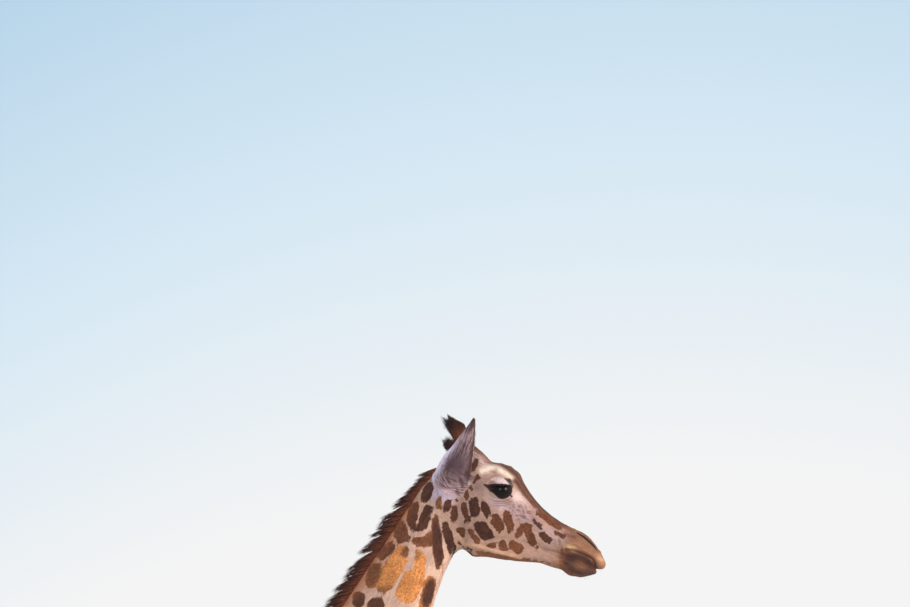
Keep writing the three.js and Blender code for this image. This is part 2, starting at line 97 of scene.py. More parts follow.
# Left ear: root, tip, the way its hollow faces, and its rings from root to tip:
# share of the length, breadth, cup, thickness, bow backward
EAR_ROOT = np.array([0.4892, 0.058, 2.364])
EAR_TIP = np.array([0.5542, 0.121, 2.552])
EAR_HOLLOW = np.array([0.62, -0.78, 0.0])
EAR_RINGS = (
    (-0.12, 0.044, 0.020, 0.020, 0.004),
    (0.00, 0.066, 0.028, 0.015, 0.0105),
    (0.10, 0.098, 0.033, 0.010, 0.0225),
    (0.25, 0.104, 0.031, 0.0085, 0.020),
    (0.40, 0.092, 0.025, 0.008, 0.016),
    (0.55, 0.070, 0.017, 0.0075, 0.009),
    (0.72, 0.046, 0.010, 0.007, 0.004),
    (0.87, 0.024, 0.005, 0.006, 0.001),
    (0.97, 0.009, 0.002, 0.005, 0.000),
)

# Spots of the head and upper neck in the side plane, from the nape:
# (along, up, length, width, slope in degrees, tone from 0 dark to 1 orange), in millimetres.
# The tone is partly the spot's own colour and partly painted light: orange where low sun falls,
# dark where the spot lies in shade; the tan spots of tone 0.95 low on the neck paint a pool of sunlight.
SPOTS = (
    (15, -84, 25, 14, -90, 0.6), (36, -90, 30, 16, 80, 0.1), (53, -109, 35, 15, 85, 0.2),
    (62, -68, 19, 11, 70, 0.25), (81, -61, 23, 13, -88, 0.2), (80, -108, 51, 17, -76, 0.15),
    (99, -94, 44, 25, -86, 0.02), (127, -99, 37, 16, -70, 0.12), (122, -149, 50, 32, -48, 0.03),
    (156, -132, 44, 27, -58, 0.25), (181, -127, 45, 21, -76, 0.3), (209, -148, 31, 16, 55, 0.35),
    (233, -160, 55, 18, -68, 0.35), (221, -139, 29, 17, -8, 0.35), (68, -152, 25, 20, -90, 0.45),
    (101, -162, 45, 14, -62, 0.5), (39, -164, 76, 22, -72, 0.1), (139, -184, 26, 14, -12, 0.4),
    (167, -185, 27, 21, -70, 0.35), (199, -186, 33, 23, -35, 0.4), (69, -177, 18, 7, -30, 0.35),
    (88, -198, 26, 18, -30, 0.1), (182, -213, 172, 15, -9, 0.6), (251, -133, 26, 10, -42, 0.1),
    (280, -122, 65, 17, -38, 0.5), (270, -163, 31, 17, -40, 0.2), (311, -158, 43, 14, -22, 0.3),
    (101, 6, 38, 11, 78, 0.15), (95, -26, 20, 10, -60, 0.2), (108, -22, 14, 8, -60, 0.2),
    (90, -43, 22, 8, -80, 0.4),
    (-12, -55, 48, 23, 73, 0.05), (-47, -113, 65, 25, 82, 0.12), (-17, -119, 62, 27, 68, 0.05),
    (-74, -150, 55, 36, -76, 0.25), (-109, -194, 50, 30, 40, 0.35), (-24, -174, 46, 24, 6, 0.55),
    (-7, -168, 36, 24, -76, 0.55),
    (12, -174, 124, 25, -85, 0.55), (-94, -239, 122, 42, 62, 0.95), (-138, -254, 60, 36, 74, 0.95),
    (-31, -236, 80, 26, 86, 0.95), (-53, -281, 78, 50, 66, 0.95), (-11, -296, 79, 27, 76, 0.95),
    (-134, -335, 53, 41, -90, 0.2),
    (-175, -311, 36, 29, -90, 0.15),
)
# Brown inside the tan spots, partly the darker patches that touch them and partly painted shade
# where the painted sunlight on the lower neck fades: along, up, length, width, slope, share
SPOT_SHADES = (
    (-141, -252, 84, 44, 74, 0.85), (-60, -196, 40, 26, 50, 0.8), (-112, -292, 60, 34, 10, 0.6),
    (-9, -296, 96, 34, 76, 1.0), (-34, -200, 30, 26, 80, 0.45), (13, -174, 136, 29, -85, 1.0),
    (-24, -168, 40, 14, 6, 0.35),
)
SPOT_GAP = 0.0016  # half the least distance between spots of different tones
SPOT_GROW = 0.0010
SPOT_FOOT = 2.115  # spots end and the larger patches start at this height
OUTSIDE = -0.03  # distance inside a patch that counts as far outside of all


# ------------------------------------------------------------------------ user settings

def srgb(red, green, blue):
    """A colour given as 0 to 255 per channel, in linear light."""
    shares = [c / 255 for c in (red, green, blue)]
    return [s / 12.92 if s <= 0.04045 else ((s + 0.055) / 1.055) ** 2.4 for s in shares]


def colour(label, text, red, green, blue):
    return FloatVectorProperty(
        name=label, description=text, subtype="COLOR", size=3, min=0, max=1,
        default=srgb(red, green, blue),
    )


def length(label, text, default):
    return FloatProperty(
        name=label, description=text, default=default, min=0.0001, unit="LENGTH", precision=4,
    )


class GiraffeSizes(bpy.types.PropertyGroup):
    """Sizes of the skin and the hair."""

    body_step: length("Body step", "Edge length of the skin on the body", 0.008)
    head_step: length("Head step", "Edge length of the skin on the head", 0.0028)
    body_hair: length("Body hair", "Length of a tuft on the trunk", 0.016)
    neck_hair: length("Neck hair", "Length of a tuft on the neck", 0.012)
    leg_hair: length("Leg hair", "Length of a tuft on the legs", 0.012)
    face_hair: length("Face hair", "Length of a tuft on the face", 0.006)
    mane_hair: length("Mane hair", "Length of the mane in the middle of the neck", 0.062)
    switch_hair: length("Tail hair", "Length of the hair at the end of the tail", 0.24)
    patch_size: length("Patch size", "Distance between patches on the trunk", 0.125)
    line_width: length("Line width", "Width of the pale lines on the trunk", 0.014)


class GiraffeColours(bpy.types.PropertyGroup):
    """Colours of the coat, hair and horn."""

    cream: colour("Cream", "Pale lines on the trunk and legs", 222, 196, 160)
    buff: colour("Buff", "Pale lines on the neck", 194, 158, 138)
    beige: colour("Beige", "Ground of the side of the head", 172, 136, 118)
    brow: colour("Brow", "Pale hair over the eye", 238, 218, 198)
    dark_patch: colour("Dark patch", "The darkest patches", 74, 43, 32)
    brown_patch: colour("Brown patch", "Most patches", 109, 64, 42)
    # Tan patch is partly painted light: its orange matches the patches lit by low sun on the lower neck.
    tan_patch: colour("Tan patch", "The warmest patches", 202, 132, 74)
    forehead: colour("Forehead", "Forehead and its boss", 116, 68, 46)
    ear_back: colour("Ear", "Back of the ears", 166, 136, 134)
    lip: colour("Lip", "Lower lip and chin", 86, 58, 48)
    muzzle: colour("Muzzle", "Upper lip", 158, 112, 82)
    mane_tip: colour("Mane", "Mane and other dark hair", 72, 40, 33)
    mane_root: colour("Mane root", "Roots of the mane", 146, 80, 48)
    horn: colour("Hoof", "Horn of the hooves", 58, 46, 38)
    iris: colour("Iris", "Iris of the eyes", 17, 12, 10)
    floor: colour("Floor", "Studio floor", 226, 224, 220)


def sizes():
    return bpy.context.scene.giraffe_sizes


def tone(name):
    """A user colour as an array of three."""
    return np.array(getattr(bpy.context.scene.giraffe_colours, name), float)


# --------------------------------------------------------------------------- arithmetic

def smooth(value, start, end):
    """0 before start, 1 after end, with an even curve between them."""
    share = np.clip((value - start) / (end - start), 0.0, 1.0)
    return share * share * (3 - 2 * share)


def unit(vectors):
    return vectors / np.maximum(np.linalg.norm(vectors, axis=-1, keepdims=True), 1e-12)


def bell(value, middle, width):
    """1 at the middle, fading evenly to both sides."""
    return np.exp(-(((value - middle) / width) ** 2))


def mix(first, second, share):
    """Blends arrays of vectors by a share for each."""
    return first + (second - first) * np.asarray(share)[..., None]


def ripple(points, size, seed, waves=9):
    """Smooth bumpy values around 0, mostly from -1 to 1, with bumps about size wide."""
    dice = np.random.default_rng(seed)
    ways = unit(dice.normal(size=(waves, 3))) * dice.uniform(0.6, 1.5, (waves, 1)) * math.pi / size
    turns = dice.uniform(0, 2 * math.pi, waves)
    return np.sin(points @ ways.T + turns).sum(1) / math.sqrt(waves)


def trace(a, b, corners, start=0.3):
    """Distance from a line, and 1 along its middle, fading to both ends from start on."""
    away, along = line_distance(a, b, corners)
    return away, 1 - smooth(np.abs(along - 0.5), start, 0.5)


def head_frame(points):
    """u, out and v of points, as three arrays."""
    dx, dz = points[:, 0] - NAPE_X, points[:, 2] - NAPE_Z
    return dx * COS - dz * SIN, np.abs(points[:, 1]), dx * SIN + dz * COS


def head_place(u, v):
    """x and z of a point of the head."""
    return NAPE_X + u * COS + v * SIN, NAPE_Z - u * SIN + v * COS


def line_distance(a, b, corners):
    """Distance of each point (a, b) from a line through corners, and the share along it."""
    best, along, walked = np.full(a.shape, 9.0), np.zeros(a.shape), 0.0
    corners = np.array(corners, float)
    total = np.linalg.norm(np.diff(corners, axis=0), axis=1).sum()
    for start, end in zip(corners[:-1], corners[1:]):
        run = end - start
        size = np.linalg.norm(run)
        share = np.clip(((a - start[0]) * run[0] + (b - start[1]) * run[1]) / size**2, 0, 1)
        away = np.hypot(a - start[0] - share * run[0], b - start[1] - share * run[1])
        nearer = away < best
        best = np.where(nearer, away, best)
        along = np.where(nearer, (walked + share * size) / total, along)
        walked += size
    return best, along


# ------------------------------------------------------------------------- mesh helpers

def mesh_from(name, points, faces):
    """A mesh from arrays: points, and faces that all have the same number of corners."""
    mesh = bpy.data.meshes.new(name)
    corners = faces.shape[1]
    mesh.vertices.add(len(points))
    mesh.vertices.foreach_set("co", np.asarray(points, np.float32).ravel())
    mesh.loops.add(faces.size)
    mesh.loops.foreach_set("vertex_index", faces.astype(np.int32).ravel())
    mesh.polygons.add(len(faces))
    mesh.polygons.foreach_set("loop_start", np.arange(0, faces.size, corners, dtype=np.int32))
    mesh.update(calc_edges=True)
    mesh.shade_smooth()
    return mesh


def tube_quads(rings, around, first=0):
    """Quads between closed rings of points, one above the other."""
    lows = [(first + r * around, s, (s + 1) % around) for r in range(rings - 1) for s in range(around)]
    return [(row + s, row + n, row + n + around, row + s + around) for row, s, n in lows]


def copied(faces, corners, count):
    """The faces of one small body, repeated for a count of bodies with the same corners."""
    return (np.array(faces)[None] + corners * np.arange(count)[:, None, None]).reshape(-1, 3)


def object_from(name, mesh):
    old = bpy.data.objects.get(name)
    if old is not None:
        bpy.data.objects.remove(old)
    piece = bpy.data.objects.new(name, mesh)
    bpy.context.scene.collection.objects.link(piece)
    return piece


def finish_piece(piece, material, slot, *nodes):
    """Gives a piece its material, hangs it from the root and hides the nodes it stands in for."""
    piece.data.materials.append(material)
    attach(piece, "root")
    if nodes:
        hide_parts(*nodes)
    return piece


def read(items, key, width, kind=np.int32):
    """One property of all items of a mesh, as rows of a width."""
    values = np.empty(len(items) * width, kind)
    items.foreach_get(key, values)
    return values.reshape(-1, width)


def points_of(mesh):
    return read(mesh.vertices, "co", 3, np.float32).astype(float)


def triangles_of(mesh):
    mesh.calc_loop_triangles()
    return read(mesh.loop_triangles, "vertices", 3)


def parts_of(mesh):
    """Points, triangles and edges."""
    return points_of(mesh), triangles_of(mesh), read(mesh.edges, "vertices", 2)


def move_points(mesh, points):
    mesh.vertices.foreach_set("co", points.astype(np.float32).ravel())
    mesh.update()


def mesh_of(body, name):
    """A mesh from a bmesh, which is freed."""
    mesh = bpy.data.meshes.new(name)
    body.to_mesh(mesh)
    body.free()
    mesh.shade_smooth()
    return mesh


def pour(mesh, body):
    """Adds a mesh to a bmesh and deletes the mesh."""
    body.from_mesh(mesh)
    bpy.data.meshes.remove(mesh)
    return body


def welded(node):
    """The solid of a node, with the corners of its facets joined."""
    body = bmesh.new()
    body.from_mesh(node.data)
    bmesh.ops.remove_doubles(body, verts=body.verts, dist=WELD)
    return body


def normals_of(points, triangles):
    """Vertex normals, weighted by the area of the triangles round each."""
    a, b, c = (points[triangles[:, k]] for k in range(3))
    faces = np.cross(b - a, c - a)
    total = np.zeros_like(points)
    for k in range(3):
        for axis in range(3):
            total[:, axis] += np.bincount(triangles[:, k], faces[:, axis], len(points))
    return unit(total)


def relax(points, edges, weight, rounds, pull=0.6, push=-0.62):
    """Evens facets out without shrinking the shape; weight says how much at each point."""
    here = np.concatenate((edges[:, 0], edges[:, 1]))
    there = np.concatenate((edges[:, 1], edges[:, 0]))
    count = np.maximum(np.bincount(here, minlength=len(points)), 1)
    for step in (pull, push) * rounds:
        mean = [np.bincount(here, points[there, k], len(points)) / count for k in range(3)]
        points = points + (weight * step)[:, None] * (np.stack(mean, 1) - points)
    return points


KINDS = {"FLOAT": (1, "value"), "FLOAT_VECTOR": (3, "vector"), "FLOAT_COLOR": (4, "color")}


def set_values(mesh, name, kind, values):
    """Stores values on the points of a mesh, of one of the kinds."""
    layer = mesh.attributes.new(name, kind, "POINT")
    if kind == "FLOAT_COLOR":
        values = np.concatenate((values, np.ones((len(values), 1))), axis=1)
    layer.data.foreach_set(KINDS[kind][1], np.asarray(values, np.float32).ravel())


def get_values(mesh, name):
    layer = mesh.attributes[name]
    width, key = KINDS[layer.data_type]
    values = read(layer.data, key, width, np.float32)[:, :3].astype(float)
    return values[:, 0] if width == 1 else values


# ------------------------------------------------------------------------------ the ears

def spline_row(rows, at):
    """A row blended smoothly from a table at row number at."""
    rows = np.array(rows, float)
    low = min(int(at), len(rows) - 2)
    f = at - low
    p0, p1, p2, p3 = (rows[min(max(low + k, 0), len(rows) - 1)] for k in (-1, 0, 1, 2))
    m1, m2 = (p2 - p0) / 2, (p3 - p1) / 2
    return (
        (2 * f**3 - 3 * f**2 + 1) * p1 + (f**3 - 2 * f**2 + f) * m1
        + (3 * f**2 - 2 * f**3) * p2 + (f**3 - f**2) * m2
    )


def ear_axes():
    """Along, across and hollow directions of the left ear, and its length."""
    run = EAR_TIP - EAR_ROOT
    size = np.linalg.norm(run)
    along = run / size
    hollow = unit(EAR_HOLLOW - along * (EAR_HOLLOW @ along))
    return along, np.cross(along, hollow), hollow, size


def ear_shell(side, rings=44, half=12):
    """The leaf-shaped cup of one ear as points, quads and the two faces that close it."""
    along, across, hollow, size = ear_axes()
    points = []
    back = np.linspace(-1, 1, 2 * half + 1)
    for at in np.linspace(0, len(EAR_RINGS) - 1, rings):
        share, breadth, cup, thick, bow = spline_row(EAR_RINGS, at)
        middle = EAR_ROOT + along * share * size - across * bow
        for q, out in [(q, -1) for q in back] + [(q * 0.97, 1) for q in back[::-1]]:
            wall = out * thick * (0.42 + 0.58 * math.sqrt(1 - (q if out < 0 else q / 0.97) ** 2)) / 2
            fold = cup * (q * q - 0.4)
            points.append(middle + across * (q * breadth / 2) + hollow * (fold + wall))
    points = np.array(points)
    points[:, 1] *= side
    round_ring = 2 * len(back)
    faces = tube_quads(rings, round_ring)
    caps = [tuple(range(round_ring))[::-1], tuple(range((rings - 1) * round_ring, rings * round_ring))]
    return points, faces, caps


# ------------------------------------------------------------------------------ the skin

def grown_flesh():
    """All flesh, eyes and ears as one object of overlapping closed bodies."""
    whole = bmesh.new()
    for name, node in sorted(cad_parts.items()):
        if not (name.startswith((*FLESH, "eye_")) or name == TAIL_NODE):
            continue
        grow = LID if name.startswith("eye") else OVERLAP
        body = welded(node)
        body.normal_update()
        for vertex in body.verts:
            vertex.co += vertex.normal * grow
        pour(mesh_of(body, "part"), whole)
    for side in SIDES.values():
        points, quads, caps = ear_shell(side)
        corners = [whole.verts.new(p) for p in points]
        for face in quads + caps:
            whole.faces.new([corners[k] for k in face])
    bmesh.ops.recalc_face_normals(whole, faces=whole.faces)
    return object_from("flesh", mesh_of(whole, "flesh"))


def voxel_skin(source, voxel):
    """The outer surface of overlapping bodies, in even quads about a voxel wide."""
    shaper = source.modifiers.new("voxels", "REMESH")
    shaper.mode = "VOXEL"
    shaper.voxel_size = voxel
    graph = bpy.context.evaluated_depsgraph_get()
    mesh = bpy.data.meshes.new_from_object(source.evaluated_get(graph))
    source.modifiers.remove(shaper)
    return pour(mesh, bmesh.new())


def keep_side(skin, point, normal):
    """Cuts a skin with a plane and keeps the side that the normal points to."""
    everything = skin.verts[:] + skin.edges[:] + skin.faces[:]
    bmesh.ops.bisect_plane(skin, geom=everything, plane_co=point, plane_no=normal, clear_inner=True)


def keep_largest(skin):
    """Deletes every loose scrap but the largest body."""
    left, bodies = set(skin.verts), []
    while left:
        body, front = set(), [left.pop()]
        while front:
            vertex = front.pop()
            body.add(vertex)
            for edge in vertex.link_edges:
                other = edge.other_vert(vertex)
                if other in left:
                    left.discard(other)
                    front.append(other)
        bodies.append(body)
    bodies.sort(key=len)
    scraps = [vertex for body in bodies[:-1] for vertex in body]
    bmesh.ops.delete(skin, geom=scraps, context="VERTS")


def refine(skin, inside):
    """Halves the edges of the faces whose middle passes the test."""
    middles = np.array([face.calc_center_median() for face in skin.faces])
    chosen = inside(middles)
    edges = {edge for face, pick in zip(skin.faces, chosen) if pick for edge in face.edges}
    bmesh.ops.subdivide_edges(skin, edges=list(edges), cuts=1, use_grid_fill=True)


def from_eye(points):
    """How far points lie ahead of, above and outside the middle of the nearer eye."""
    return points[:, 0] - EYE[0], points[:, 2] - EYE[2], np.abs(points[:, 1]) - EYE[1]


def near_eyes(radius):
    return lambda points: np.linalg.norm(from_eye(points), axis=0) < radius


def near_mouth(points):
    u = head_frame(points)[0]
    return (u > 0.355) & (u < 0.6) & (points[:, 2] > HEAD_FOOT)


def joined_skin():
    """One closed skin of the whole animal: fine on the head, coarser on the body."""
    flesh = grown_flesh()
    head = voxel_skin(flesh, sizes().head_step)
    body = voxel_skin(flesh, sizes().body_step)
    bpy.data.objects.remove(flesh)
    keep_side(head, SKIN_JOIN + NECK_AXIS * JOIN_GAP, NECK_AXIS)
    keep_side(body, SKIN_JOIN - NECK_AXIS * JOIN_GAP, -NECK_AXIS)
    for half in (head, body):
        keep_largest(half)
    pour(mesh_of(head, "part"), body)
    rims = [edge for edge in body.edges if edge.is_boundary]
    bmesh.ops.bridge_loops(body, edges=rims)
    bmesh.ops.recalc_face_normals(body, faces=body.faces)
    return body


def zone_shares(points):
    """Shares of each point in head, neck, legs, tail and trunk, together 1; low is legs and tail."""
    head = smooth((points - HEAD_PLANE) @ HEAD_NORMAL, -0.035, 0.035)
    neck = smooth((points - NECK_FOOT) @ NECK_AXIS, 0.06, 0.30) * (1 - head)
    legs = (1 - smooth(points[:, 2], 0.96, 1.14)) * (1 - head) * (1 - neck)
    tail = tail_share(points)
    legs = legs * (1 - tail)
    low = legs + tail
    trunk = 1 - head - neck - low
    return {"head": head, "neck": neck, "legs": legs, "tail": tail, "low": low, "trunk": trunk}


TAIL_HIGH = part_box(TAIL_NODE)[1]


def tail_share(points):
    behind = smooth(-points[:, 0], -TAIL_HIGH.x, -TAIL_HIGH.x + 0.03)
    slim = 1 - smooth(np.abs(points[:, 1]), 0.03, 0.045)
    return behind * slim * smooth(-points[:, 2], -TAIL_HIGH.z, -TAIL_HIGH.z + 0.04)


def ear_frame(points):
    """Share along the ear, place across its breadth from -1 to 1, height over its fold, breadth."""
    along, across, hollow, size = ear_axes()
    local = points * [1, 0, 1] - EAR_ROOT
    local[:, 1] = np.abs(points[:, 1]) - EAR_ROOT[1]
    share = local @ along / size
    rings = np.array(EAR_RINGS)
    breadth, cup, bow = (np.interp(share, rings[:, 0], rings[:, k]) for k in (1, 2, 4))
    place = (local @ across + bow) / (breadth / 2)
    height = local @ hollow - cup * (place**2 - 0.4)
    return share, place, height, breadth


def ear_share(points):
    share, place, height, _ = ear_frame(points)
    on_leaf = (place > -1.25) & (place < 1.05) & (np.abs(height) < 0.013) & (share < 1.08)
    return on_leaf * smooth(share, 0.0, 0.12)


OSSICONE_LOW, OSSICONE_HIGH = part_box("ossicone_left")


def ossicone_share(points):
    """1 on the two horns, 0 on the skull."""
    middle = (OSSICONE_LOW + OSSICONE_HIGH) / 2
    across = 1 - smooth(np.abs(np.abs(points[:, 1]) - middle.y), 0.018, 0.03)
    beside = 1 - smooth(np.abs(points[:, 0] - middle.x), 0.028, 0.04)
    foot = OSSICONE_HIGH.z - 0.036
    return across * beside * smooth(points[:, 2], foot - 0.008, foot + 0.008)


# Depth of the coat over the skin, by zone
COAT_DEPTH = {"head": 0.0009, "neck": 0.0020, "legs": 0.0013, "tail": 0.0012, "trunk": 0.0024}
THIN_COAT = 0.0005  # on ears and lips


def coat_depth(points):
    shares = zone_shares(points)
    depth = sum(shares[zone] * deep for zone, deep in COAT_DEPTH.items())
    thin = np.maximum(ear_share(points), ossicone_share(points) * 0.5)
    foot = 1 - smooth(points[:, 2], 0.09, 0.25)
    depth = depth + (THIN_COAT - depth) * thin
    return depth * (1 - 0.6 * foot)


def fold(points, normals, amount):
    """Moves points along their normals by an amount for each."""
    return points + normals * amount[:, None]


# Opening between the lids round the middle of the eye: degrees (0 ahead, 90 up) and radius
LID_OPENING = np.array((
    (0, 0.0258), (20, 0.0262), (36, 0.0190), (60, 0.0138), (90, 0.0120), (120, 0.0138),
    (138, 0.0185), (154, 0.0258), (170, 0.0262), (186, 0.0222), (200, 0.0178), (215, 0.0159),
    (235, 0.0159), (250, 0.0174), (275, 0.0198), (305, 0.0218), (337, 0.0250),
))


def lid_radius(turn):
    """Radius of the opening at an angle in degrees."""
    return np.interp(turn, LID_OPENING[:, 0], LID_OPENING[:, 1], period=360)


def lid_gap(dx, dz):
    """Below 1 inside the opening between the lids, 1 on their margin."""
    return np.hypot(dx, dz) / lid_radius(np.degrees(np.arctan2(dz, dx)))


def open_lids(points, side):
    """Wraps the skin over one eyeball and opens it between the lids."""
    centre = EYE * [1, side, 1]
    away = points - centre
    out = away[:, 1] * side
    reach = np.linalg.norm(away, axis=1)
    near = (reach < EYE_RADIUS + 0.014) & (out > 0.003)
    gap = lid_gap(away[:, 0], away[:, 2])
    snap = near & (gap > 0.95) & (gap < 1.045)
    for k in (0, 2):
        away[:, k] = np.where(snap, away[:, k] / gap, away[:, k])
    reach = np.maximum(np.linalg.norm(away, axis=1), 1e-6)
    over = 0.0006 + 0.0022 * smooth(gap, 1.0, 1.10) + 0.0012 * smooth(gap, 1.1, 1.5)
    lid = np.maximum(EYE_RADIUS + over, np.where(snap | (gap < 1.1), 0, reach))
    goal = np.where((gap < 0.999) & ~snap, EYE_RADIUS - 0.004, lid)
    goal = np.where(near, goal, reach)
    return centre + away * (goal / reach)[:, None]


# Lines of the face as corners in the head's u and v; PROFILE is its top line
NOSTRIL = ((0.375, 0.0312), (0.392, 0.0302), (0.408, 0.0278), (0.423, 0.0238), (0.436, 0.0178))
MOUTH = (
    (0.371, -0.0175), (0.384, -0.0115), (0.396, -0.0095), (0.420, -0.0062), (0.438, -0.0068),
    (0.448, -0.0130), (0.452, -0.0225), (0.485, -0.0240),
)
PROFILE = np.array((
    (-0.01, 0.060), (0.030, 0.098), (0.056, 0.103), (0.080, 0.092), (0.105, 0.087), (0.129, 0.083),
    (0.144, 0.090), (0.160, 0.0925), (0.177, 0.090), (0.219, 0.067), (0.259, 0.0505),
    (0.320, 0.037), (0.373, 0.0334), (0.399, 0.0310), (0.414, 0.0291), (0.430, 0.0234), (0.449, 0.0131),
))
JAW_EDGE = ((0.128, -0.108), (0.150, -0.121), (0.180, -0.112), (0.223, -0.102), (0.285, -0.085))
BROW = ((0.108, 0.050), (0.119, 0.066), (0.133, 0.0745), (0.161, 0.0725), (0.180, 0.0680))
MOUTH_FOLDS = (
    ((0.316, -0.047), (0.340, -0.037), (0.365, -0.031)),
    ((0.352, -0.012), (0.362, -0.022), (0.366, -0.034)),
    ((0.340, 0.000), (0.350, -0.012), (0.353, -0.026)),
)
CHEEK_LINE = ((0.205, 0.020), (0.250, 0.004), (0.300, -0.004), (0.345, -0.004))


def shape_face(points, normals):
    """Nostrils, mouth, lips, jaw, brow and folds, pressed into the skin of the head."""
    u, out, v = head_frame(points)
    amount = np.zeros(len(points))

    away, ends = trace(u, v, NOSTRIL)
    beside = smooth(out, 0.008, 0.016)
    slit = bell(away, 0, 0.0036) * (0.5 + 0.5 * ends)
    wing = bell(away, 0.0095, 0.006)
    amount += beside * (0.0022 * wing - 0.0090 * slit)
    amount += 0.0028 * bell(u, 0.396, 0.024) * smooth(v, 0.018, 0.028)
    amount += (v < -0.045) * (bell(u, 0.411, 0.012) * 0.0016 - bell(u, 0.384, 0.012) * 0.0030)
    amount += (v > 0.06) * (bell(u, 0.140, 0.008) * 0.0024 - bell(u, 0.168, 0.013) * 0.0036)

    away, _ = line_distance(u, v, MOUTH)
    lips = smooth(u, 0.36, 0.385)
    deep = (0.55 + 0.45 * lips) * (1 - 0.6 * smooth(u, 0.442, 0.452))
    amount -= 0.0062 * deep * bell(away, 0, 0.0026)
    amount += lips * 0.0018 * bell(away, 0.0085, 0.0055)

    away, ends = trace(u, v, JAW_EDGE, 0.35)
    amount += ends * (0.0034 * bell(away, 0, 0.006) - 0.0022 * bell(away, 0.016, 0.009))

    away, ends = trace(u, v, BROW)
    amount += (out > 0.03) * ends * 0.0040 * bell(away, 0, 0.010)

    for corners in MOUTH_FOLDS:
        away, ends = trace(u, v, corners, 0.2)
        amount += ends * (0.0010 * bell(away, 0.0055, 0.003) - 0.0017 * bell(away, 0, 0.0022))

    away, ends = trace(u, v, CHEEK_LINE, 0.25)
    amount += (out > 0.02) * ends * 0.0030 * bell(away, 0, 0.009)
    amount -= 0.0035 * bell(u, 0.262, 0.030) * bell(v, -0.030, 0.030)

    amount *= smooth(u, 0.05, 0.09)
    return fold(points, normals, amount)


def folds_below(dx, dz):
    """How much a place lies below the eye, and its distance from each fold there."""
    below = smooth(-dz, 0.005, 0.014) * (1 - smooth(np.abs(dx - 0.004), 0.016, 0.028))
    far = np.hypot(dx / 1.1, dz) - 0.12 * np.abs(dx - 0.004)
    return below, [far - radius for radius in (0.0275, 0.0325, 0.0375)]


def crease_lids(points, normals):
    """Folds above and below the eye."""
    dx, dz, out = from_eye(points)
    ball = (np.hypot(dx, dz) < 0.06) & (out > -0.02)
    arch = np.hypot(dx / 1.15, dz) - 0.0265
    ridges = 0.0014 * bell(arch, -0.006, 0.004) + 0.0016 * bell(arch, 0.006, 0.004)
    amount = smooth(dz, 0.004, 0.014) * (ridges - 0.0020 * bell(arch, 0, 0.0016))
    below, rings = folds_below(dx, dz)
    for depth, ring in zip((0.0028, 0.0026, 0.0020), rings):
        amount += below * depth * (0.6 * bell(ring, -0.0028, 0.0018) - bell(ring, 0, 0.0013))
    return fold(points, normals, amount * ball)


# Dark marks round the eye, from its middle: (ahead, up) corners, half width at both ends, strength
EYE_MARKS = (
    (((-0.0225, 0.0050), (-0.0375, 0.0125)), 0.0075, 0.0020, 1.0),  # outer corner
    (((0.0130, 0.0262), (0.0215, 0.0228)), 0.0028, 0.0056, 0.85),  # over the inner corner
    (((0.0215, 0.0222), (0.0282, 0.0085)), 0.0056, 0.0040, 0.85),
    (((0.0262, -0.0140), (0.0280, -0.0150)), 0.0026, 0.0026, 1.0),  # tear duct
)

# Bones and muscles under the skin: (x, out, z, radius, how far they stand)
BODY_FORMS = (
    (0.165, 0.120, 1.285, 0.055, 0.010),  # point of the shoulder
    (-0.125, 0.165, 1.105, 0.035, 0.008),  # elbow
    (-0.020, 0.150, 1.360, 0.070, 0.007),  # muscle behind the shoulder blade
    (-0.538, 0.150, 1.435, 0.038, 0.013),  # hip bone
    (-0.470, 0.175, 1.370, 0.060, -0.013),  # flank
    (-0.790, 0.070, 1.345, 0.035, 0.010),  # seat bone
    (-0.475, 0.170, 1.040, 0.050, 0.010),  # stifle
    (-0.690, 0.170, 1.200, 0.080, 0.006),  # thigh muscle
    (-0.395, 0.180, 1.110, 0.060, -0.010),  # hollow before the stifle
    (-0.090, 0.180, 1.230, 0.050, -0.008),  # hollow behind the shoulder
)
SHOULDER_BLADE = ((0.010, 1.600), (0.075, 1.440), (0.150, 1.300))
RIB_STEP = 0.052


def shape_body(points, normals):
    """Bones, ribs and tendons that show through the skin."""
    x, out, z = points[:, 0], np.abs(points[:, 1]), points[:, 2]
    amount = np.zeros(len(points))
    for at_x, at_out, at_z, radius, height in BODY_FORMS:
        away = (x - at_x) ** 2 + (out - at_out) ** 2 + (z - at_z) ** 2
        amount += height * np.exp(-away / radius**2)
    away, ends = trace(x, z, SHOULDER_BLADE)
    amount += ends * (out > 0.05) * (0.0050 * bell(away, 0, 0.018) - 0.0045 * bell(away, 0.045, 0.022))
    slant = x + 0.35 * (z - 1.25)
    cage = smooth(slant, -0.42, -0.34) * (1 - smooth(slant, -0.10, -0.04))
    cage *= smooth(z, 1.11, 1.18) * (1 - smooth(z, 1.36, 1.44)) * (out > 0.08)
    amount += cage * 0.0022 * np.sin(slant * 2 * math.pi / RIB_STEP)
    for leg in LEGS:
        amount += leg_forms(points, leg)
    return fold(points, normals, amount)


def leg_forms(points, leg):
    """Tendon grooves and the bones of the knee, hock and fetlock on one leg."""
    low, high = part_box(f"cannon_{leg}")
    middle = (low + high) / 2
    x, z = points[:, 0] - middle.x, points[:, 2]
    beside = np.abs(np.abs(points[:, 1]) - abs(middle.y))
    own = (points[:, 1] * middle.y > 0) & (np.abs(x) < 0.16) & (z < 1.0) & (beside < 0.09)
    along = (z - low.z) / (high.z - low.z)
    groove = smooth(along, 0.02, 0.2) * (1 - smooth(along, 0.75, 1.0))
    amount = -0.0030 * groove * bell(x, -0.009, 0.006)
    joint = high.z + (0.070 if leg.startswith("front") else 0.095)
    amount += 0.0040 * bell(z, joint - 0.02, 0.022) * bell(x, 0.012, 0.022)
    amount += 0.0030 * bell(z, joint + 0.03, 0.020) * bell(x, -0.002, 0.020)
    if leg.startswith("hind"):
        amount -= 0.009 * bell(z, joint + 0.10, 0.06) * bell(x, -0.012, 0.013) * (beside > 0.012)
    return amount * own


# ---------------------------------------------------------------- lie and marks of coat

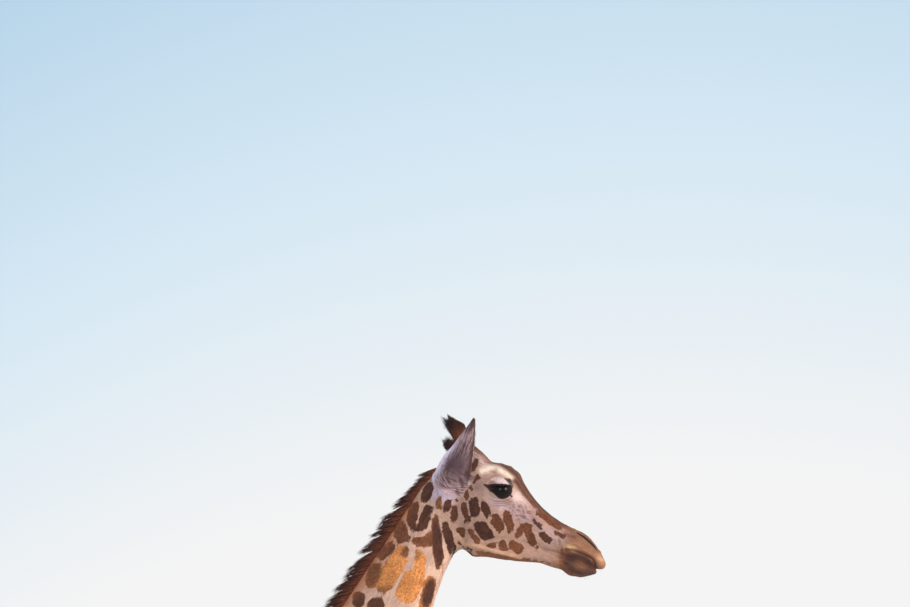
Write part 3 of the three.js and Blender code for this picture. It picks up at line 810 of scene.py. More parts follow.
TRUNK_LIE = unit(np.array([-0.9, 0.0, -0.42]))
LEG_LIE = np.array([0.0, 0.0, -1.0])
HEAD_LIE = np.array([-COS, 0.0, SIN])
NECK_LIE = -NECK_AXIS
LEG_TOP = np.array([0.0, 0.0, 1.05])
GRAIN = 0.86  # how much the grain of the coat is drawn out along its lie


def stretch(points, origin, lie, offset):
    """Coordinates drawn out along a direction, so that noise on them makes streaks."""
    local = points - origin
    return local - GRAIN * (local @ lie)[:, None] * lie + offset


def grain_of(points):
    """Coordinates whose noise makes streaks along the lie of the coat, zone by zone."""
    shares = zone_shares(points)
    at_base = stretch(NECK_FOOT[None], HEAD_PLANE, NECK_LIE, 0)[0]
    at_legs = stretch(LEG_TOP[None], NECK_FOOT, TRUNK_LIE, at_base)[0]
    total = sum(shares[zone][:, None] * stretch(points, *way) for zone, *way in (
        ("head", HEAD_PLANE, HEAD_LIE, 0),
        ("neck", HEAD_PLANE, NECK_LIE, 0),
        ("trunk", NECK_FOOT, TRUNK_LIE, at_base),
        ("low", LEG_TOP, LEG_LIE, at_legs),
    ))
    return mix(total, ear_grain(points)[0], ear_share(points) > 0.3)


def ear_grain(points):
    """Grain of the ears, arcs round their dark middle and lines up to the tip, and how clear it is."""
    share, place, height, breadth = ear_frame(points)
    across, up = (place - 0.55) * breadth / 2, (share - 0.40) * ear_axes()[3]
    turn, far = np.arctan2(up, across), np.hypot(across, up)
    arcs = np.stack((2.0 * far, 0.012 * turn, height), 1)
    lines = np.stack((1.8 * across + 0.2, 0.18 * up, height), 1)
    return mix(arcs, lines, smooth(share, 0.24, 0.44)), smooth(far, 0.008, 0.022)


def lie_of_coat(points, normals):
    """The way the hair lies at each point, along the skin."""
    shares = zone_shares(points)
    x = points[:, 0]
    head = HEAD_LIE + LEG_LIE * (0.45 * smooth(np.abs(normals[:, 1]), 0.3, 0.8))[:, None]
    trunk = np.tile(TRUNK_LIE, (len(points), 1))
    trunk += LEG_LIE * (1.2 * smooth(-x, 0.60, 0.80) + 0.9 * smooth(x, -0.02, 0.12))[:, None]
    ways = {"head": head, "neck": NECK_LIE + [-0.12, 0, 0], "trunk": trunk, "low": LEG_LIE}
    total = sum(shares[zone][:, None] * way for zone, way in ways.items())
    ear_way = np.tile(ear_axes()[0], (len(points), 1))
    ear_way[:, 1] *= np.sign(points[:, 1])
    total = mix(total, ear_way, ear_share(points))
    total = mix(total, np.array([[-0.25, 0.0, 1.0]]), ossicone_share(points))
    turn = 0.22 * ripple(points, 0.11, 5)
    total = total + np.cross(normals, total) * turn[:, None]
    total -= (total * normals).sum(1)[:, None] * normals
    return unit(total)


def spot_ring(dx, dz, size, width, turn, power):
    """0 in the middle of a long spot and 1 on its edge; power 2 is an ellipse, more is squarer."""
    long = np.abs(np.cos(turn) * dx + np.sin(turn) * dz) / (size / 2)
    wide = np.abs(np.cos(turn) * dz - np.sin(turn) * dx) / (width / 2)
    return (long**power + wide**power) ** (1 / power)


def blob_rings(points, blobs):
    """For each blob (along, up, length, width, slope, share): 1 on its edge, and its share."""
    along, up = 1000 * (points[:, 0] - NAPE_X), 1000 * (points[:, 2] - NAPE_Z)
    for at, rise, size, width, slope, share in blobs:
        yield spot_ring(along - at, up - rise, size, width, math.radians(slope), 2), share


def crest_share(points, shares, reach):
    """1 along the foot of the mane, 0 at a reach from the middle of the neck."""
    behind = smooth((points - NECK_FOOT) @ MANE_BACK, 0.0, 0.02)
    return shares["neck"] * behind * (1 - smooth(np.abs(points[:, 1]), 0.012, reach))


def spot_marks(points):
    """Distance inside the listed spots (below 0 outside) and the tone of the nearest."""
    dice = np.random.default_rng(11)
    warp = 0.0013 * ripple(points, 0.010, 21) + 0.0008 * ripple(points, 0.005, 22)
    along, up = points[:, 0] - NAPE_X, points[:, 2] - NAPE_Z
    left = points[:, 1] > 0
    inside, best = np.full(len(points), OUTSIDE), np.zeros(len(points))
    second = inside.copy()
    for at, rise, size, width, slope, shade in SPOTS:
        shift = dice.normal(0, 0.003, 2)
        grow = dice.uniform(0.9, 1.1)
        turn = math.radians(slope) + np.where(left, dice.normal(0, 0.12), 0)
        dx = along - at / 1000 - np.where(left, shift[0], 0)
        dz = up - rise / 1000 - np.where(left, shift[1], 0)
        ring = spot_ring(dx, dz, size / 1000, width / 1000, turn, 3) / np.where(left, grow, 1)
        depth = (1 - ring) * width / 2000 + SPOT_GROW
        rival = np.where(shade == best, OUTSIDE, np.minimum(inside, depth))
        second = np.maximum(second, rival)
        best = np.where(depth > inside, shade, best)
        inside = np.maximum(inside, depth)
    return np.minimum(inside, (inside - second) / 2 - SPOT_GAP) + warp, best


def patch_spacing(points):
    """Distance between the centres of patches at each point of the body."""
    shares = zone_shares(points)
    z = points[:, 2]
    size = sizes().patch_size
    neck = size * (0.62 + 0.3 * (1 - smooth(z, 1.5, 2.15)))
    leg = size * (0.42 + 0.3 * smooth(z, 0.65, 1.05))
    high = shares["neck"] + shares["head"]
    return shares["low"] * leg + high * neck + shares["trunk"] * size


PATCH_TRIES = 9000  # places tried as the centre of a patch
PATCH_GAP = 0.82  # least distance between two centres, in spacings
PATCH_STRETCH = 0.30  # how much farther apart they lie along the coat
PATCH_ROUND = 0.006  # how much the corners of a patch are rounded


def patch_seeds(points, lies):
    """Centres of the patches of the body, spread evenly over the skin."""
    dice = np.random.default_rng(7)
    able = np.flatnonzero((points[:, 2] < SPOT_FOOT - 0.02) & (points[:, 2] > 0.5))
    order = dice.permutation(able)[:PATCH_TRIES]
    spacing = patch_spacing(points)
    kept = []
    for k in order:
        if kept:
            away = points[kept] - points[k]
            away -= PATCH_STRETCH * (away @ lies[k])[:, None] * lies[k]
            if (np.linalg.norm(away, axis=1) < PATCH_GAP * spacing[k]).any():
                continue
        kept.append(k)
    return np.array(kept)


def held_places(points):
    """Skin points under the lowest listed spots, where no patch of the body may grow."""
    kept = []
    for at, rise, size, _, slope, _ in SPOTS:
        for end in (-0.3, 0.3):
            x = NAPE_X + (at + end * size * math.cos(math.radians(slope))) / 1000
            z = NAPE_Z + (rise + end * size * math.sin(math.radians(slope))) / 1000
            if z < 2.25 and x < 0.5:
                for side in (-1, 1):
                    away = (points[:, 0] - x) ** 2 + (points[:, 2] - z) ** 2
                    kept.append(np.argmin(away + (points[:, 1] * side < 0.02)))
    return np.array(kept)


def body_marks(points, lies):
    """Distance inside the patches of the body and the tone of the nearest."""
    patches, held = patch_seeds(points, lies), held_places(points)
    seeds = np.concatenate((patches, held))
    centres, ways = points[seeds], lies[seeds]
    tones = np.random.default_rng(8).uniform(0.30, 0.78, len(seeds))
    warped = points + 0.011 * np.stack([ripple(points, 0.060, 30 + k) for k in range(3)], 1)
    warped += 0.004 * np.stack([ripple(points, 0.022, 40 + k) for k in range(3)], 1)
    reach = np.empty((len(seeds), len(points)), np.float32)
    for row, (centre, way) in enumerate(zip(centres, ways)):
        away = warped - centre
        reach[row] = (away * away).sum(1) - 0.42 * (away @ way) ** 2
    nearest = reach.argmin(0)
    least = reach[nearest, np.arange(len(points))]
    crowd = np.zeros(len(points))
    for row, centre in enumerate(centres):
        apart = np.linalg.norm(centres[nearest] - centre, axis=1)
        gap = (reach[row] - least) / (2 * np.maximum(apart, 1e-3))
        crowd += np.where(nearest == row, 0, np.exp(-np.minimum(gap, 0.2) / PATCH_ROUND))
    inside = -PATCH_ROUND * np.log(np.maximum(crowd, 1e-12))
    spacing = patch_spacing(points)
    inside -= sizes().line_width / 2 * (0.6 + 0.4 * spacing / sizes().patch_size)
    inside = np.where(nearest >= len(patches), OUTSIDE, inside)
    return np.clip(inside, OUTSIDE, 0.05), tones[nearest]


def coat_marks(points, lies):
    """patch (distance inside a patch), mark (its colour), ground (colour between), strewn hair."""
    z = points[:, 2]
    u, _, v = head_frame(points)
    shares = zone_shares(points)
    ears, horns = ear_share(points), ossicone_share(points)
    spots, spot_tones = spot_marks(points)
    patches, patch_tones = body_marks(points, lies)
    upper = smooth(z, SPOT_FOOT - 0.06, SPOT_FOOT)
    inside = np.where(spots * upper > patches, spots, patches)
    inside = np.where(upper > 0.99, spots, inside)
    tones = np.where(inside == spots, spot_tones, patch_tones)
    inside -= 0.085 * (1 - smooth(z, 0.40, 0.90)) ** 2
    inside -= 0.006 * (1 - smooth(z, 1.10, 1.20)) * shares["trunk"]
    ridge, _ = line_distance(u, v, JAW_EDGE)
    around_eye = np.hypot(u - EYE_U + 0.004, v - EYE_V - 0.004)
    plain = np.maximum(smooth(u, 0.352, 0.376), 1 - smooth(around_eye, 0.040, 0.047)) * (z > HEAD_FOOT)
    # Spots give way along the jaw ridge, so that its painted highlight shows.
    plain = np.maximum(plain, 0.3 * bell(ridge, 0, 0.0035) * shares["head"])
    bare = np.maximum(plain, np.maximum(ears, horns))
    inside = inside - 0.05 * bare

    dark, brown, tan = tone("dark_patch"), tone("brown_patch"), tone("tan_patch")
    mark = mix(dark[None], brown[None], smooth(tones, 0.0, 0.45))
    mark = mix(mark, tan[None], smooth(tones, 0.45, 1.0))
    mark = mark * (1 - 0.22 * smooth(inside, 0.004, 0.035) * (1 - upper))[:, None]
    brown_share = smooth(ripple(points, 0.055, 52), 0.1, 1.3) * smooth(tones, 0.6, 0.9) * (1 - upper)
    mark = mix(mark, brown[None], 0.7 * brown_share)
    # Brown inside the tan spots: darker patches that touch them, and painted shade where the painted
    # sunlight fades.
    for ring, share in blob_rings(points, SPOT_SHADES):
        mark = mix(mark, dark[None] * 1.1, share * (1 - smooth(ring, 0.6, 1.15)) * upper)
    # Along the foot of the mane the patches turn orange: partly the reddish hair there, partly a painted
    # glow of low sun along the crest.
    mark = mix(mark, np.array(srgb(160, 94, 56))[None], 0.45 * crest_share(points, shares, 0.052))
    mark = mark * (1 + 0.10 * ripple(points, 0.045, 51))[:, None]
    ground, strewn = ground_colours(points, shares, ears, horns)
    return inside, np.clip(mark, 0, 1), np.clip(ground, 0, 1), strewn


BLACK = (34, 24, 22)
# Soft blots on the side of the head: colour, share, middle and width along u, then along v
FACE_BLOTS = (
    ((166, 138, 142), 0.9, 0.236, 0.042, 0.008, 0.024),  # lilac of the cheek: pale hair, tinted lilac as painted cool shade
    ((234, 208, 204), 0.9, 0.212, 0.022, 0.036, 0.014),  # before the eye
    ((182, 160, 164), 0.8, 0.182, 0.030, -0.002, 0.012),  # below the eye
    ((126, 100, 98), 0.7, 0.116, 0.013, 0.012, 0.016),  # behind the eye
)
MUZZLE_BLOTS = (
    ((214, 168, 138), 0.8, 0.456, 0.012, 0.004, 0.008),  # painted highlight on the tip of the upper lip
    ((112, 72, 62), 0.85, 0.362, 0.020, 0.016, 0.006),  # dark hair behind the nostril
)
# Dark hair on the front of the ears' base, as in SPOT_SHADES
EAR_MARKS = ((70, -38, 32, 11, -75, 0.8), (84, -19, 22, 11, -70, 0.8), (60, -58, 22, 9, -80, 0.8))


def paint(ground, layers, where=1.0):
    """Lays colours over the ground, each with its share: a user colour's name or three channels."""
    for shade, share in layers:
        shade = tone(shade) if isinstance(shade, str) else np.array(srgb(*shade))
        ground = mix(ground, shade[None], share * where)
    return ground


def blots(u, v, table):
    """Layers of paint from a table of soft blots."""
    return [
        (shade, share * bell(u, ahead, long) * bell(v, up, high))
        for shade, share, ahead, long, up, high in table
    ]


def ground_colours(points, shares, ears, horns):
    """The colour of the coat between the patches, and how much dark hair is strewn in it."""
    x, y, z = points.T
    u, out, v = head_frame(points)
    on_head, on_neck = shares["head"], shares["neck"]
    pale = (1 - smooth(z, 1.02, 1.18)) * (1 - 0.5 * smooth(np.abs(y), 0.10, 0.19))
    throat = smooth((NECK_FOOT - points) @ MANE_BACK, 0.030, 0.060)
    ground = np.tile(tone("cream"), (len(points), 1))
    ground = mix(ground, np.minimum(tone("cream") * 1.12, 0.9)[None], pale * 0.8)
    ground = paint(ground, [
        ("buff", on_neck * smooth(z, 1.5, 1.9)),
        # Beside the mane the pale lines turn a dark orange: partly the reddish hair there, partly painted
        # shade along the crest.
        ((178, 106, 62), 0.85 * crest_share(points, shares, 0.055)),
        ((226, 188, 166), 0.85 * throat * on_neck),
        ("beige", on_head),
    ])
    ground, strewn = face_colours(ground, u, out, v, on_head)
    ground = muzzle_colours(ground, u, out, v, on_head)
    ground = eye_colours(ground, points, on_head * (out > 0.045))
    foot = np.hypot(x - NAPE_X - 0.030, z - NAPE_Z + 0.058) / 0.034  # of the ear
    below_ear = 0.8 * (1 - smooth(foot, 0.6, 1.3)) * smooth(out, 0.02, 0.04)
    ground = paint(ground, [((190, 172, 186), below_ear)])
    ground, ear_strewn = ear_and_horn_colours(points, ground, ears, horns)
    return ground, np.maximum(strewn, ear_strewn)


def face_colours(ground, u, out, v, on_head):
    """Forehead, brow and cheek, and the dark hair strewn there."""
    under = np.interp(u, PROFILE[:, 0], PROFILE[:, 1]) - v
    deep = np.interp(u, [0.0, 0.10, 0.14, 0.18, 0.26, 0.37], [0.040, 0.032, 0.021, 0.024, 0.015, 0.010])
    top = (1 - smooth(under / deep, 0.70, 1.30)) * smooth(u, -0.01, 0.04)
    slope = bell(u, 0.088, 0.034) * bell(under, 0.020, 0.013)
    line = bell(under, 0.0030, 0.0022) * smooth(u, 0.13, 0.15) * (1 - smooth(u, 0.32, 0.37))
    line = np.maximum(line, bell(under, 0.0150, 0.0020) * smooth(u, 0.17, 0.20) * (u < 0.26))
    ridge, _ = line_distance(u, v, JAW_EDGE)
    brow, _ = line_distance(u, v, BROW)
    brow = bell(brow, 0, 0.0085) * smooth(out, 0.026, 0.042)
    brow = brow * (1 - smooth(u + 0.5 * (0.076 - v), 0.176, 0.194)) * on_head
    eye = np.hypot((u - EYE_U) / 1.1, v - EYE_V)
    over_lid = smooth(v - EYE_V, 0.008, 0.014) * (1 - smooth(eye, 0.027, 0.033))
    layers = blots(u, v, FACE_BLOTS)
    lilac = smooth(layers[0][1], 0.225, 0.675)
    ground = paint(ground, layers + [
        ("forehead", 0.95 * top),
        ((216, 184, 176), 0.85 * slope),
        ((76, 48, 40), 0.75 * line),
        # Painted highlight along the jaw ridge, where low sun catches it.
        ((206, 160, 124), 0.8 * bell(ridge, 0, 0.004)),
        ("brow", 0.95 * brow),
        ((222, 196, 194), 0.9 * over_lid),
    ], on_head)
    strewn = np.maximum(0.55 * lilac, np.maximum(0.30 * slope, 0.6 * top))
    strewn *= (1 - over_lid) * (1 - np.minimum(1.8 * brow, 1.0)) * (1 - smooth(u, 0.335, 0.36))
    muzzle = smooth(u, 0.355, 0.380) * (1 - smooth(u, 0.43, 0.45)) * smooth(v, -0.008, 0.002)
    return ground, (strewn + 0.3 * muzzle) * on_head


def muzzle_colours(ground, u, out, v, on_head):
    """Lips, mouth and nostrils."""
    mouth = np.interp(u, [0.30, 0.371, 0.42, 0.45, 0.48], [-0.035, -0.0175, -0.0062, -0.014, -0.024])
    lower = 1 - smooth(v - mouth, -0.004, 0.003)
    chin = lower * smooth(u + 0.5 * (v + 0.03), 0.354, 0.378)
    swell = np.hypot((u - 0.419 - 0.3 * (v + 0.0315)) / 0.036, (v + 0.0315) / 0.023)
    # Painted highlight on the pale folds at the corner of the mouth.
    corner_glint = bell(u, 0.381, 0.012) * bell(v, -0.0095, 0.0055) * (1 - lower)
    rim, _ = line_distance(u, v, MOUTH)
    slit, along = line_distance(u, v, NOSTRIL)
    narrow = slit / (1 - 0.6 * (2 * along - 1) ** 2)  # the slit narrows to both ends
    return paint(ground, [
        ("muzzle", smooth(u, 0.335, 0.380)),
        ("lip", chin),
        ((138, 92, 68), 0.8 * chin * (1 - smooth(swell, 0.1, 0.75))),
        ((122, 74, 52), 0.8 * chin * smooth(swell, 0.95, 1.2)),
        ((246, 208, 152), 0.9 * corner_glint),
        *blots(u, v, MUZZLE_BLOTS),
        ((92, 52, 38), 0.85 * bell(rim, 0, 0.0035)),
        ((176, 152, 150), 0.6 * bell(u, 0.325, 0.030) * bell(v, 0.000, 0.020)),
        ((96, 64, 50), 0.4 * (out > 0.006) * bell(slit, 0, 0.0075)),
        # The black in the nostril's slit is painted shade inside its opening.
        (BLACK, (out > 0.006) * (1 - smooth(narrow, 0.0020, 0.0046))),
    ], on_head)


def eye_colours(ground, points, on_side):
    """The dark margin of the lids, painted shade in the folds below and the dark marks round the eye."""
    dx, dz, _ = from_eye(points)
    below, rings = folds_below(dx, dz)
    # Painted shade along the folds below the eye.
    layers = [((136, 104, 100), 0.6 * below * bell(ring, 0, 0.0014)) for ring in rings]
    layers.append((BLACK, (1 - smooth(lid_gap(dx, dz), 1.08, 1.20)) * (np.hypot(dx, dz) < 0.05)))
    for corners, start, end, strength in EYE_MARKS:
        away, along = line_distance(dx, dz, corners)
        reach = away / (start + (end - start) * along)
        layers.append(((52, 35, 35), strength * (1 - smooth(reach, 0.5, 1.4))))
    return paint(ground, layers, on_side)


def ear_and_horn_colours(points, ground, ears, horns):
    """Ears and ossicones, and the dark hair strewn on the ears."""
    share, place, height, _ = ear_frame(points)
    middle = 1 - smooth(np.abs(place - 0.30), 0.25, 0.85)
    rear = smooth(-place, -0.05, 0.75) * (1 - smooth(share, 0.45, 0.8))
    inside = smooth(height, -0.001, 0.001)
    ear = paint(np.tile(tone("ear_back"), (len(points), 1)), [
        # Pale hair on the rear edge of the ear, tinted lilac as painted cool shade.
        ((228, 212, 232), rear),
        ((200, 168, 166), (1 - smooth(share, 0.05, 0.25)) * smooth(place, -0.6, 0.2)),
        ((72, 52, 62), 0.9 * middle * bell(share, 0.40, 0.24)),
        ((226, 206, 190), 0.85 * inside),
        ("mane_tip", smooth(share, 0.80, 0.95)),
        ((62, 44, 46), 0.9 * smooth(place, 0.72, 0.94) * smooth(share, 0.10, 0.35)),
    ])
    top = smooth(points[:, 2], OSSICONE_HIGH.z - 0.04, OSSICONE_HIGH.z - 0.005)
    horn = mix(tone("forehead")[None] * 0.8, tone("mane_tip")[None] * 1.3, top)
    ground = mix(mix(ground, ear, ears), horn, horns)
    ragged = 0.25 * ripple(points, 0.008, 91)
    ground = paint(ground, [
        ((72, 50, 54), dark * (1 - smooth(ring + ragged, 0.7, 1.2)))
        for ring, dark in blob_rings(points, EAR_MARKS)
    ], ears)
    return ground, ears * (1 - inside) * (0.9 - 0.5 * rear) * ear_grain(points)[1]


# ------------------------------------------------------------------------- the materials

class Nodes:
    """A node tree, built by short calls."""

    def __init__(self, tree):
        self.tree = tree

    def set(self, node, inputs):
        for key, value in inputs.items():
            if isinstance(value, bpy.types.NodeSocket):
                self.tree.links.new(value, node.inputs[key])
            else:
                node.inputs[key].default_value = value
        return node

    def add(self, kind, inputs=None, **settings):
        node = self.tree.nodes.new(kind)
        for key, value in settings.items():
            setattr(node, key, value)
        return self.set(node, inputs or {})

    def stored(self, name, output="Fac"):
        return self.add("ShaderNodeAttribute", attribute_name=name).outputs[output]

    def place(self):
        return self.add("ShaderNodeTexCoord").outputs["Object"]

    def noise(self, vector, scale, detail=2.0, rough=0.5):
        return self.add(
            "ShaderNodeTexNoise",
            {"Vector": vector, "Scale": scale, "Detail": detail, "Roughness": rough},
        ).outputs["Fac"]

    def math(self, operation, first, second=0.0, third=0.0):
        node = self.add("ShaderNodeMath", operation=operation)
        return self.set(node, {0: first, 1: second, 2: third}).outputs[0]

    def plus(self, first, second):
        return self.math("ADD", first, second)

    def times(self, first, *factors):
        for factor in factors:
            first = self.math("MULTIPLY", first, factor)
        return first

    def scale(self, colour, light):
        inputs = {0: colour, "Scale": light}
        return self.add("ShaderNodeVectorMath", inputs, operation="SCALE").outputs[0]

    def ramp(self, value, low, high, start=0.0, end=1.0):
        node = self.add("ShaderNodeMapRange", interpolation_type="SMOOTHSTEP")
        places = {"Value": value, "From Min": low, "From Max": high, "To Min": start, "To Max": end}
        return self.set(node, places).outputs["Result"]

    def blend(self, share, first, second):
        node = self.add("ShaderNodeMix", {0: share}, data_type="RGBA")
        for key, value in ((6, first), (7, second)):
            self.set(node, {key: value if isinstance(value, bpy.types.NodeSocket) else (*value, 1)})
        return node.outputs[2]


class Finish(Nodes):
    """A material round a Principled BSDF."""

    def __init__(self, name):
        old = bpy.data.materials.get(name)
        if old is not None:
            bpy.data.materials.remove(old)
        self.material = bpy.data.materials.new(name)
        self.material.use_nodes = True
        super().__init__(self.material.node_tree)
        self.shader = self.tree.nodes["Principled BSDF"]

    def bump(self, height, strength, distance):
        node = self.add("ShaderNodeBump", {"Height": height, "Strength": strength, "Distance": distance})
        self.surface(Normal=node.outputs["Normal"])

    def surface(self, **sockets):
        """Sets sockets of the shader; underscores stand for spaces."""
        self.set(self.shader, {key.replace("_", " "): value for key, value in sockets.items()})


PATCH_EDGE = (-0.0007, 0.0011)  # a patch starts and is full at these distances inside it


def coat_finish(name, tufted):
    """Fur with the markings of the skin; tufted adds lighter tips to the tufts."""
    finish = Finish(name)
    place, grain = finish.place(), finish.stored("grain", "Vector")
    ragged = finish.math("SUBTRACT", finish.noise(place, 330.0, 3.0, 0.6), 0.5)
    inside = finish.plus(finish.stored("patch"), finish.times(ragged, 0.0050))
    share = finish.ramp(inside, *PATCH_EDGE)
    # Light and dark specks in the marks: speckled hair and painted glints of the fur.
    speck = finish.ramp(finish.noise(place, 300.0, 3.0, 0.65), 0.42, 0.62, 1.20, 0.66)
    speck = finish.times(speck, finish.ramp(finish.noise(place, 48.0), 0.3, 0.7, 0.86, 1.12))
    mark = finish.scale(finish.stored("mark", "Color"), speck)
    tangle = finish.ramp(finish.noise(grain, 190.0, 2.0, 0.6), 0.46, 0.60)
    tangle = finish.times(tangle, finish.stored("strewn"))
    ground = finish.blend(tangle, finish.stored("ground", "Color"), srgb(78, 54, 54))
    streaks = finish.noise(grain, 420.0, 3.0, 0.6)
    clouds = finish.noise(place, 34.0, 3.0, 0.55)
    lights = [finish.ramp(streaks, 0.25, 0.75, 0.80, 1.18), finish.ramp(clouds, 0.2, 0.8, 0.88, 1.12)]
    if tufted:
        lights.append(finish.ramp(finish.stored("reach"), 0.0, 0.9, 0.90, 1.06))
        lights.append(finish.ramp(finish.stored("chance"), 0.0, 1.0, 0.90, 1.10))
    shade = finish.scale(finish.blend(share, ground, mark), finish.times(*lights))
    finish.surface(Base_Color=shade, Roughness=0.72, Specular_IOR_Level=0.22)
    finish.surface(Sheen_Weight=0.08, Sheen_Roughness=0.45)
    if not tufted:
        fine = finish.noise(grain, 900.0, 2.0, 0.6)
        finish.bump(finish.plus(finish.times(streaks, 0.7), fine), 0.40, 0.0010)
    return finish.material


def hair_finish(name, root, tip, rough=0.5):
    """Long hair, from the root colour to the tip colour, strand by strand."""
    finish = Finish(name)
    reach, chance = finish.stored("reach"), finish.stored("chance")
    share = finish.ramp(finish.plus(reach, finish.times(chance, 0.35)), 0.20, 0.95)
    colour = finish.blend(share, root, tip)
    colour = finish.blend(finish.times(finish.stored("dark"), reach), colour, srgb(26, 20, 24))
    streaks = finish.noise(finish.place(), 260.0, 2.0)
    light = finish.ramp(chance, 0.0, 1.0, 0.68, 1.34)
    light = finish.times(light, finish.ramp(streaks, 0.2, 0.8, 0.85, 1.15))
    finish.surface(Base_Color=finish.scale(colour, light), Roughness=rough, Specular_IOR_Level=0.4)
    return finish.material


# -------------------------------------------------------------------- tufts and strands

def uneven_points(mesh, name, step, seed):
    """Places of the tufts of a piece, a step in lengths of a tuft apart: triangles and weights."""
    points, triangles = points_of(mesh), triangles_of(mesh)
    middles = points[triangles].mean(1)
    pick = in_piece(name, middles)
    triangles, middles = triangles[pick], middles[pick]
    a, b, c = (points[triangles[:, k]] for k in range(3))
    area = np.linalg.norm(np.cross(b - a, c - a), axis=1) / 2
    steps = hair_length(middles) * step
    dice = np.random.default_rng(seed)
    wanted = area / steps**2 * 3.2
    count = np.floor(wanted + dice.random(len(area))).astype(int)
    owner = np.repeat(np.arange(len(area)), count)
    first, second = dice.random((2, len(owner)))
    over = first + second > 1
    first, second = np.where(over, 1 - first, first), np.where(over, 1 - second, second)
    weights = np.stack((1 - first - second, first, second), 1)
    places = (points[triangles[owner]] * weights[..., None]).sum(1)
    step = steps[owner]
    level = np.round(np.log2(step / 0.001) * 2)
    cell = np.floor(places / (0.001 * 2 ** (level / 2))[:, None]).astype(np.int64)
    key = ((cell[:, 0] * 73856093) ^ (cell[:, 1] * 19349663) ^ (cell[:, 2] * 83492791)) + level.astype(int)
    _, first_of = np.unique(key, return_index=True)
    first_of.sort()
    return triangles[owner[first_of]], weights[first_of]


def sampled(mesh, corners, weights, values):
    """Values at places inside the triangles of the skin, from an array or by their stored name."""
    if isinstance(values, str):
        values = get_values(mesh, values)
    if values.ndim == 1:
        return (values[corners] * weights).sum(1)
    return (values[corners] * weights[..., None]).sum(1)


TUFT_FACES = ((0, 1, 2), (0, 2, 3), (0, 3, 1), (4, 2, 1), (4, 3, 2), (4, 1, 3))
TUFT_CORNERS = 5


def climb_of(points, corners, values):
    """How a stored value climbs across each triangle, as a vector along it."""
    a, b, c = (points[corners[:, k]] for k in range(3))
    face = np.cross(b - a, c - a)
    turned = sum(values[corners[:, k], None] * edge for k, edge in enumerate((c - b, a - c, b - a)))
    return np.cross(face, turned) / (face * face).sum(1)[:, None]


def tuft_mesh(name, roots, normals, lies, sizes_of, dice):
    """Flat closed blades: one corner in the skin, three round the belly, one at the tip."""
    long, wide, thick, lift = sizes_of
    count = len(roots)
    swing = dice.normal(0, 0.16, count)[:, None]
    across = np.cross(normals, lies)
    lies = unit(lies + across * swing)
    across = np.cross(normals, lies)
    long, wide, thick, lift = (np.broadcast_to(k, count)[:, None] for k in (long, wide, thick, lift))
    roots = roots - lies * long * 0.4
    start = roots - normals * (0.0003 + 0.5 * thick)
    belly = roots + lies * long * 0.38
    left, right = (belly + side * across * wide / 2 - normals * 0.0002 for side in (-1, 1))
    ridge = belly + normals * (thick + 0.3 * lift)
    curl = dice.normal(0, 0.10, count)[:, None] * long
    tip = roots + lies * long + normals * lift + across * curl
    points = np.stack((start, left, ridge, right, tip), 1).reshape(-1, 3)
    mesh = mesh_from(name, points, copied(TUFT_FACES, TUFT_CORNERS, count))
    aside = across * 0.18
    lean = (normals, normals - aside, normals, normals + aside, normals + lies * 0.12)
    lean = np.stack(lean, 1).reshape(-1, 3)
    mesh.normals_split_custom_set_from_vertices(unit(lean).astype(np.float32))
    set_values(mesh, "reach", "FLOAT", np.tile([0.0, 0.4, 0.45, 0.4, 1.0], count))
    set_values(mesh, "chance", "FLOAT", np.repeat(dice.random(count), TUFT_CORNERS))
    return mesh


UV_HALF = 0.0015  # half the patch that a tuft takes on the unwrap
TUFT_STEP = 0.45  # distance between tufts, in lengths of a tuft


def bake_map(mesh, places, corners_each, patch):
    """The OFBake map: every tuft a small patch at its root's place on the unwrap."""
    layer = mesh.uv_layers.new(name="OFBake")
    spots = np.repeat(places, corners_each, axis=0) + np.tile(patch, (len(places), 1)) * UV_HALF
    index = read(mesh.loops, "vertex_index", 1)[:, 0]
    layer.data.foreach_set("uv", np.clip(spots[index], 0.0, 1.0).astype(np.float32).ravel())


def unwrapped(points, axis_start, axis_end, seam):
    """Unwrap round an axis: turn about it across, way along it up, both within 0.01 to 0.99."""
    way = np.array(axis_end) - axis_start
    size = np.linalg.norm(way)
    way = way / size
    local = points - axis_start
    along = local @ way
    ahead = unit(np.array(seam) - way * (np.array(seam) @ way))
    beside = np.cross(way, ahead)
    turn = np.arctan2(local @ beside, local @ ahead) / (2 * math.pi) + 0.5
    low, high = along.min(), along.max()
    return 0.01 + 0.98 * np.stack((turn, (along - low) / max(high - low, 1e-6)), 1)


def hair_length(points):
    """Length of the tufts at each point."""
    s = sizes()
    shares = zone_shares(points)
    u = head_frame(points)[0]
    head = s.face_hair * (1.0 + 0.45 * (1 - smooth(u, 0.0, 0.12)) - 0.30 * smooth(u, 0.30, 0.40))
    leg = s.leg_hair * (0.62 + 0.38 * smooth(points[:, 2], 0.15, 0.8))
    long = shares["head"] * head + shares["neck"] * s.neck_hair + shares["trunk"] * s.body_hair
    return long + shares["low"] * leg


CHEST_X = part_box("barrel")[1].x
LOIN_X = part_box("hindquarters")[1].x
LEG_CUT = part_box("thigh_hind_left")[1].z
COAT_PIECES = (
    "coat_head", "coat_ears", "coat_neck", "coat_chest", "coat_barrel", "coat_rump", "coat_tail",
    *(f"coat_leg_{leg}" for leg in LEGS),
)


